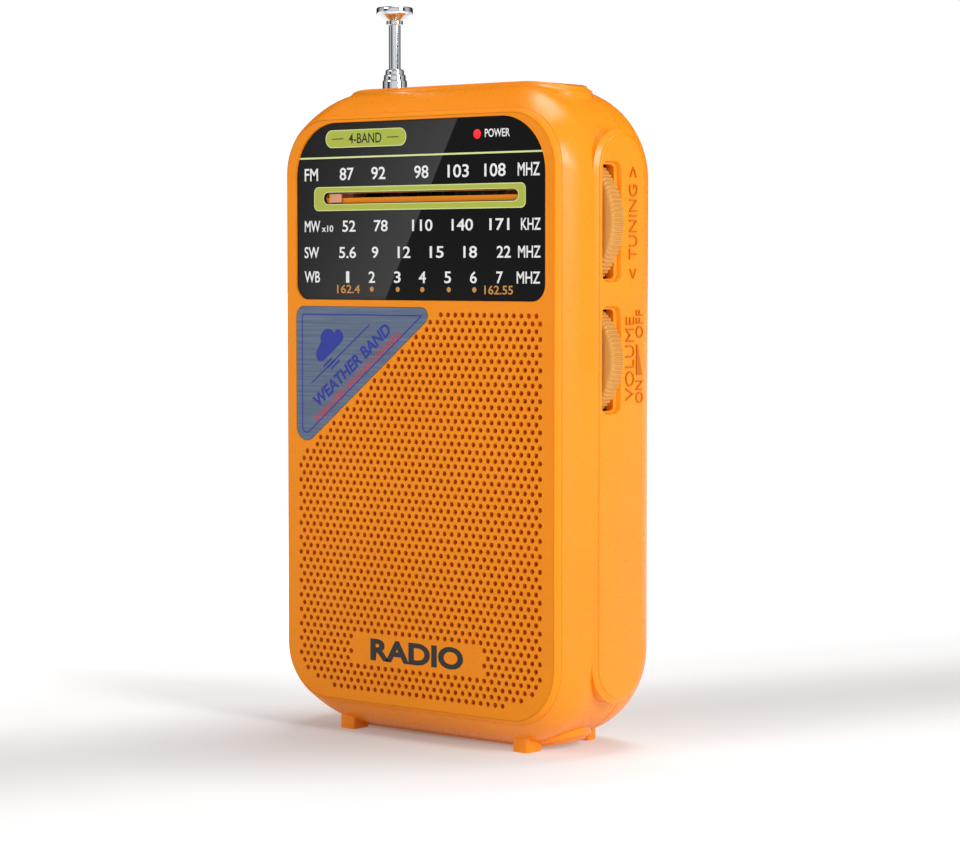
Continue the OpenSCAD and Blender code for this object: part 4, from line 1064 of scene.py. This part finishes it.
def add_stage():
    """Seamless white paper that glows by its own emission, with painted shade: a soft grey fall-off behind
    the radio.
    """
    paper, tree, shader, place = new_finish("paper_with_painted_shade", "#CCCCCC", 0.9,
                                            Specular_IOR_Level=0.0)
    # The paper's emission is painted light: a glow that keeps it white far off, dimmed to a painted shade in
    # a band behind the radio.
    ramp = grey_ramp(tree, along(tree, place, PAINTED_SHADE_HEADING, -0.1, 1.0), (0.62, 1),
                     ((0.045, 0.36), (0.098, 0.14), (0.147, 0.36), (0.22, 0.56), (0.364, 0.76)))
    ramp.color_ramp.interpolation = "EASE"
    tree.links.new(ramp.outputs["Color"], shader.inputs["Emission Color"])
    shader.inputs["Emission Strength"].default_value = 1.0
    raise_surface(tree, shader, grain(tree, place, 1.5, 3.0), 0.01, 0.3)
    bm = bmesh.new()
    bmesh.ops.create_grid(bm, x_segments=1, y_segments=1, size=6)
    mesh = bpy.data.meshes.new("floor")
    bm.to_mesh(mesh)
    bm.free()
    mesh.materials.append(paper)
    floor = bpy.data.objects.new("floor", mesh)
    bpy.context.scene.collection.objects.link(floor)


def add_lamp(name, place, aim, size, power):
    lamp = bpy.data.lights.new(name, "AREA")
    lamp.shape = "RECTANGLE"
    lamp.size, lamp.size_y = size
    lamp.energy = power
    holder = bpy.data.objects.new(name, lamp)
    holder.location = place
    holder.rotation_euler = (Vector(aim) - Vector(place)).to_track_quat("-Z", "Y").to_euler()
    bpy.context.scene.collection.objects.link(holder)


def add_world():
    """A dim even light from all round. The backdrop is plain white, and reflections alone
    meet darker flags, which give chrome its dark bands."""
    world = bpy.data.worlds.new("studio")
    bpy.context.scene.world = world
    world.use_nodes = True
    tree = world.node_tree
    sky = tree.nodes["Background"]
    path = add_node(tree, "LightPath")
    direction = add_node(tree, "TexCoord").outputs["Generated"]
    ramp = grey_ramp(tree, along(tree, direction, FAR_SIDE, -1.0, 1.0), (0.95, 0.03),
                     ((0.12, 0.6), (0.2, 0.06), (0.32, 0.06), (0.38, 0.7), (0.62, 0.5), (0.8, 0.03)))
    glossy = add_node(tree, "Mix", {"data_type": "RGBA", 6: grey(AMBIENT)},
                      Factor=path.outputs["Is Glossy Ray"], _7=ramp.outputs["Color"])
    seen = add_node(tree, "Mix", {"data_type": "RGBA", 7: grey(1)},
                    Factor=path.outputs["Is Camera Ray"], _6=glossy.outputs[2])
    tree.links.new(seen.outputs[2], sky.inputs["Color"])


def add_light():
    add_world()
    middle = (0, 0, 0.06)
    add_lamp("key_lamp", (0.95, -0.1, 0.45), middle, (0.3, 0.5), 8.0)
    add_lamp("front_lamp", (-0.3, -0.95, 0.6), middle, (0.5, 0.3), 3.4)
    add_lamp("top_lamp", (0, 0.25, 1.0), middle, (0.6, 0.4), 4.6)


build_front_shell()
build_back_shell()
build_front_panel()
build_dial_print()
build_label_print()
build_name_print()
build_side_lettering()
build_wheel("tuning_thumbwheel", TUNING,
            [(0, -7), (7.8, -7), (7.8, -6.5), (6.9, -6.5), (6.9, -5.5), (7.8, -5.5), (7.8, -4.8),
             (0, -4.8)], "tuning", ["tuning_wheel"])
build_wheel("volume_thumbwheel", VOLUME, [(0, -5.6), (4, -5.6), (4, -4.8), (0, -4.8)], "volume",
            ["volume_wheel"])
build_screws()
build_softened_parts()
build_aerial()
finish_kept_nodes()
add_stage()
add_light()
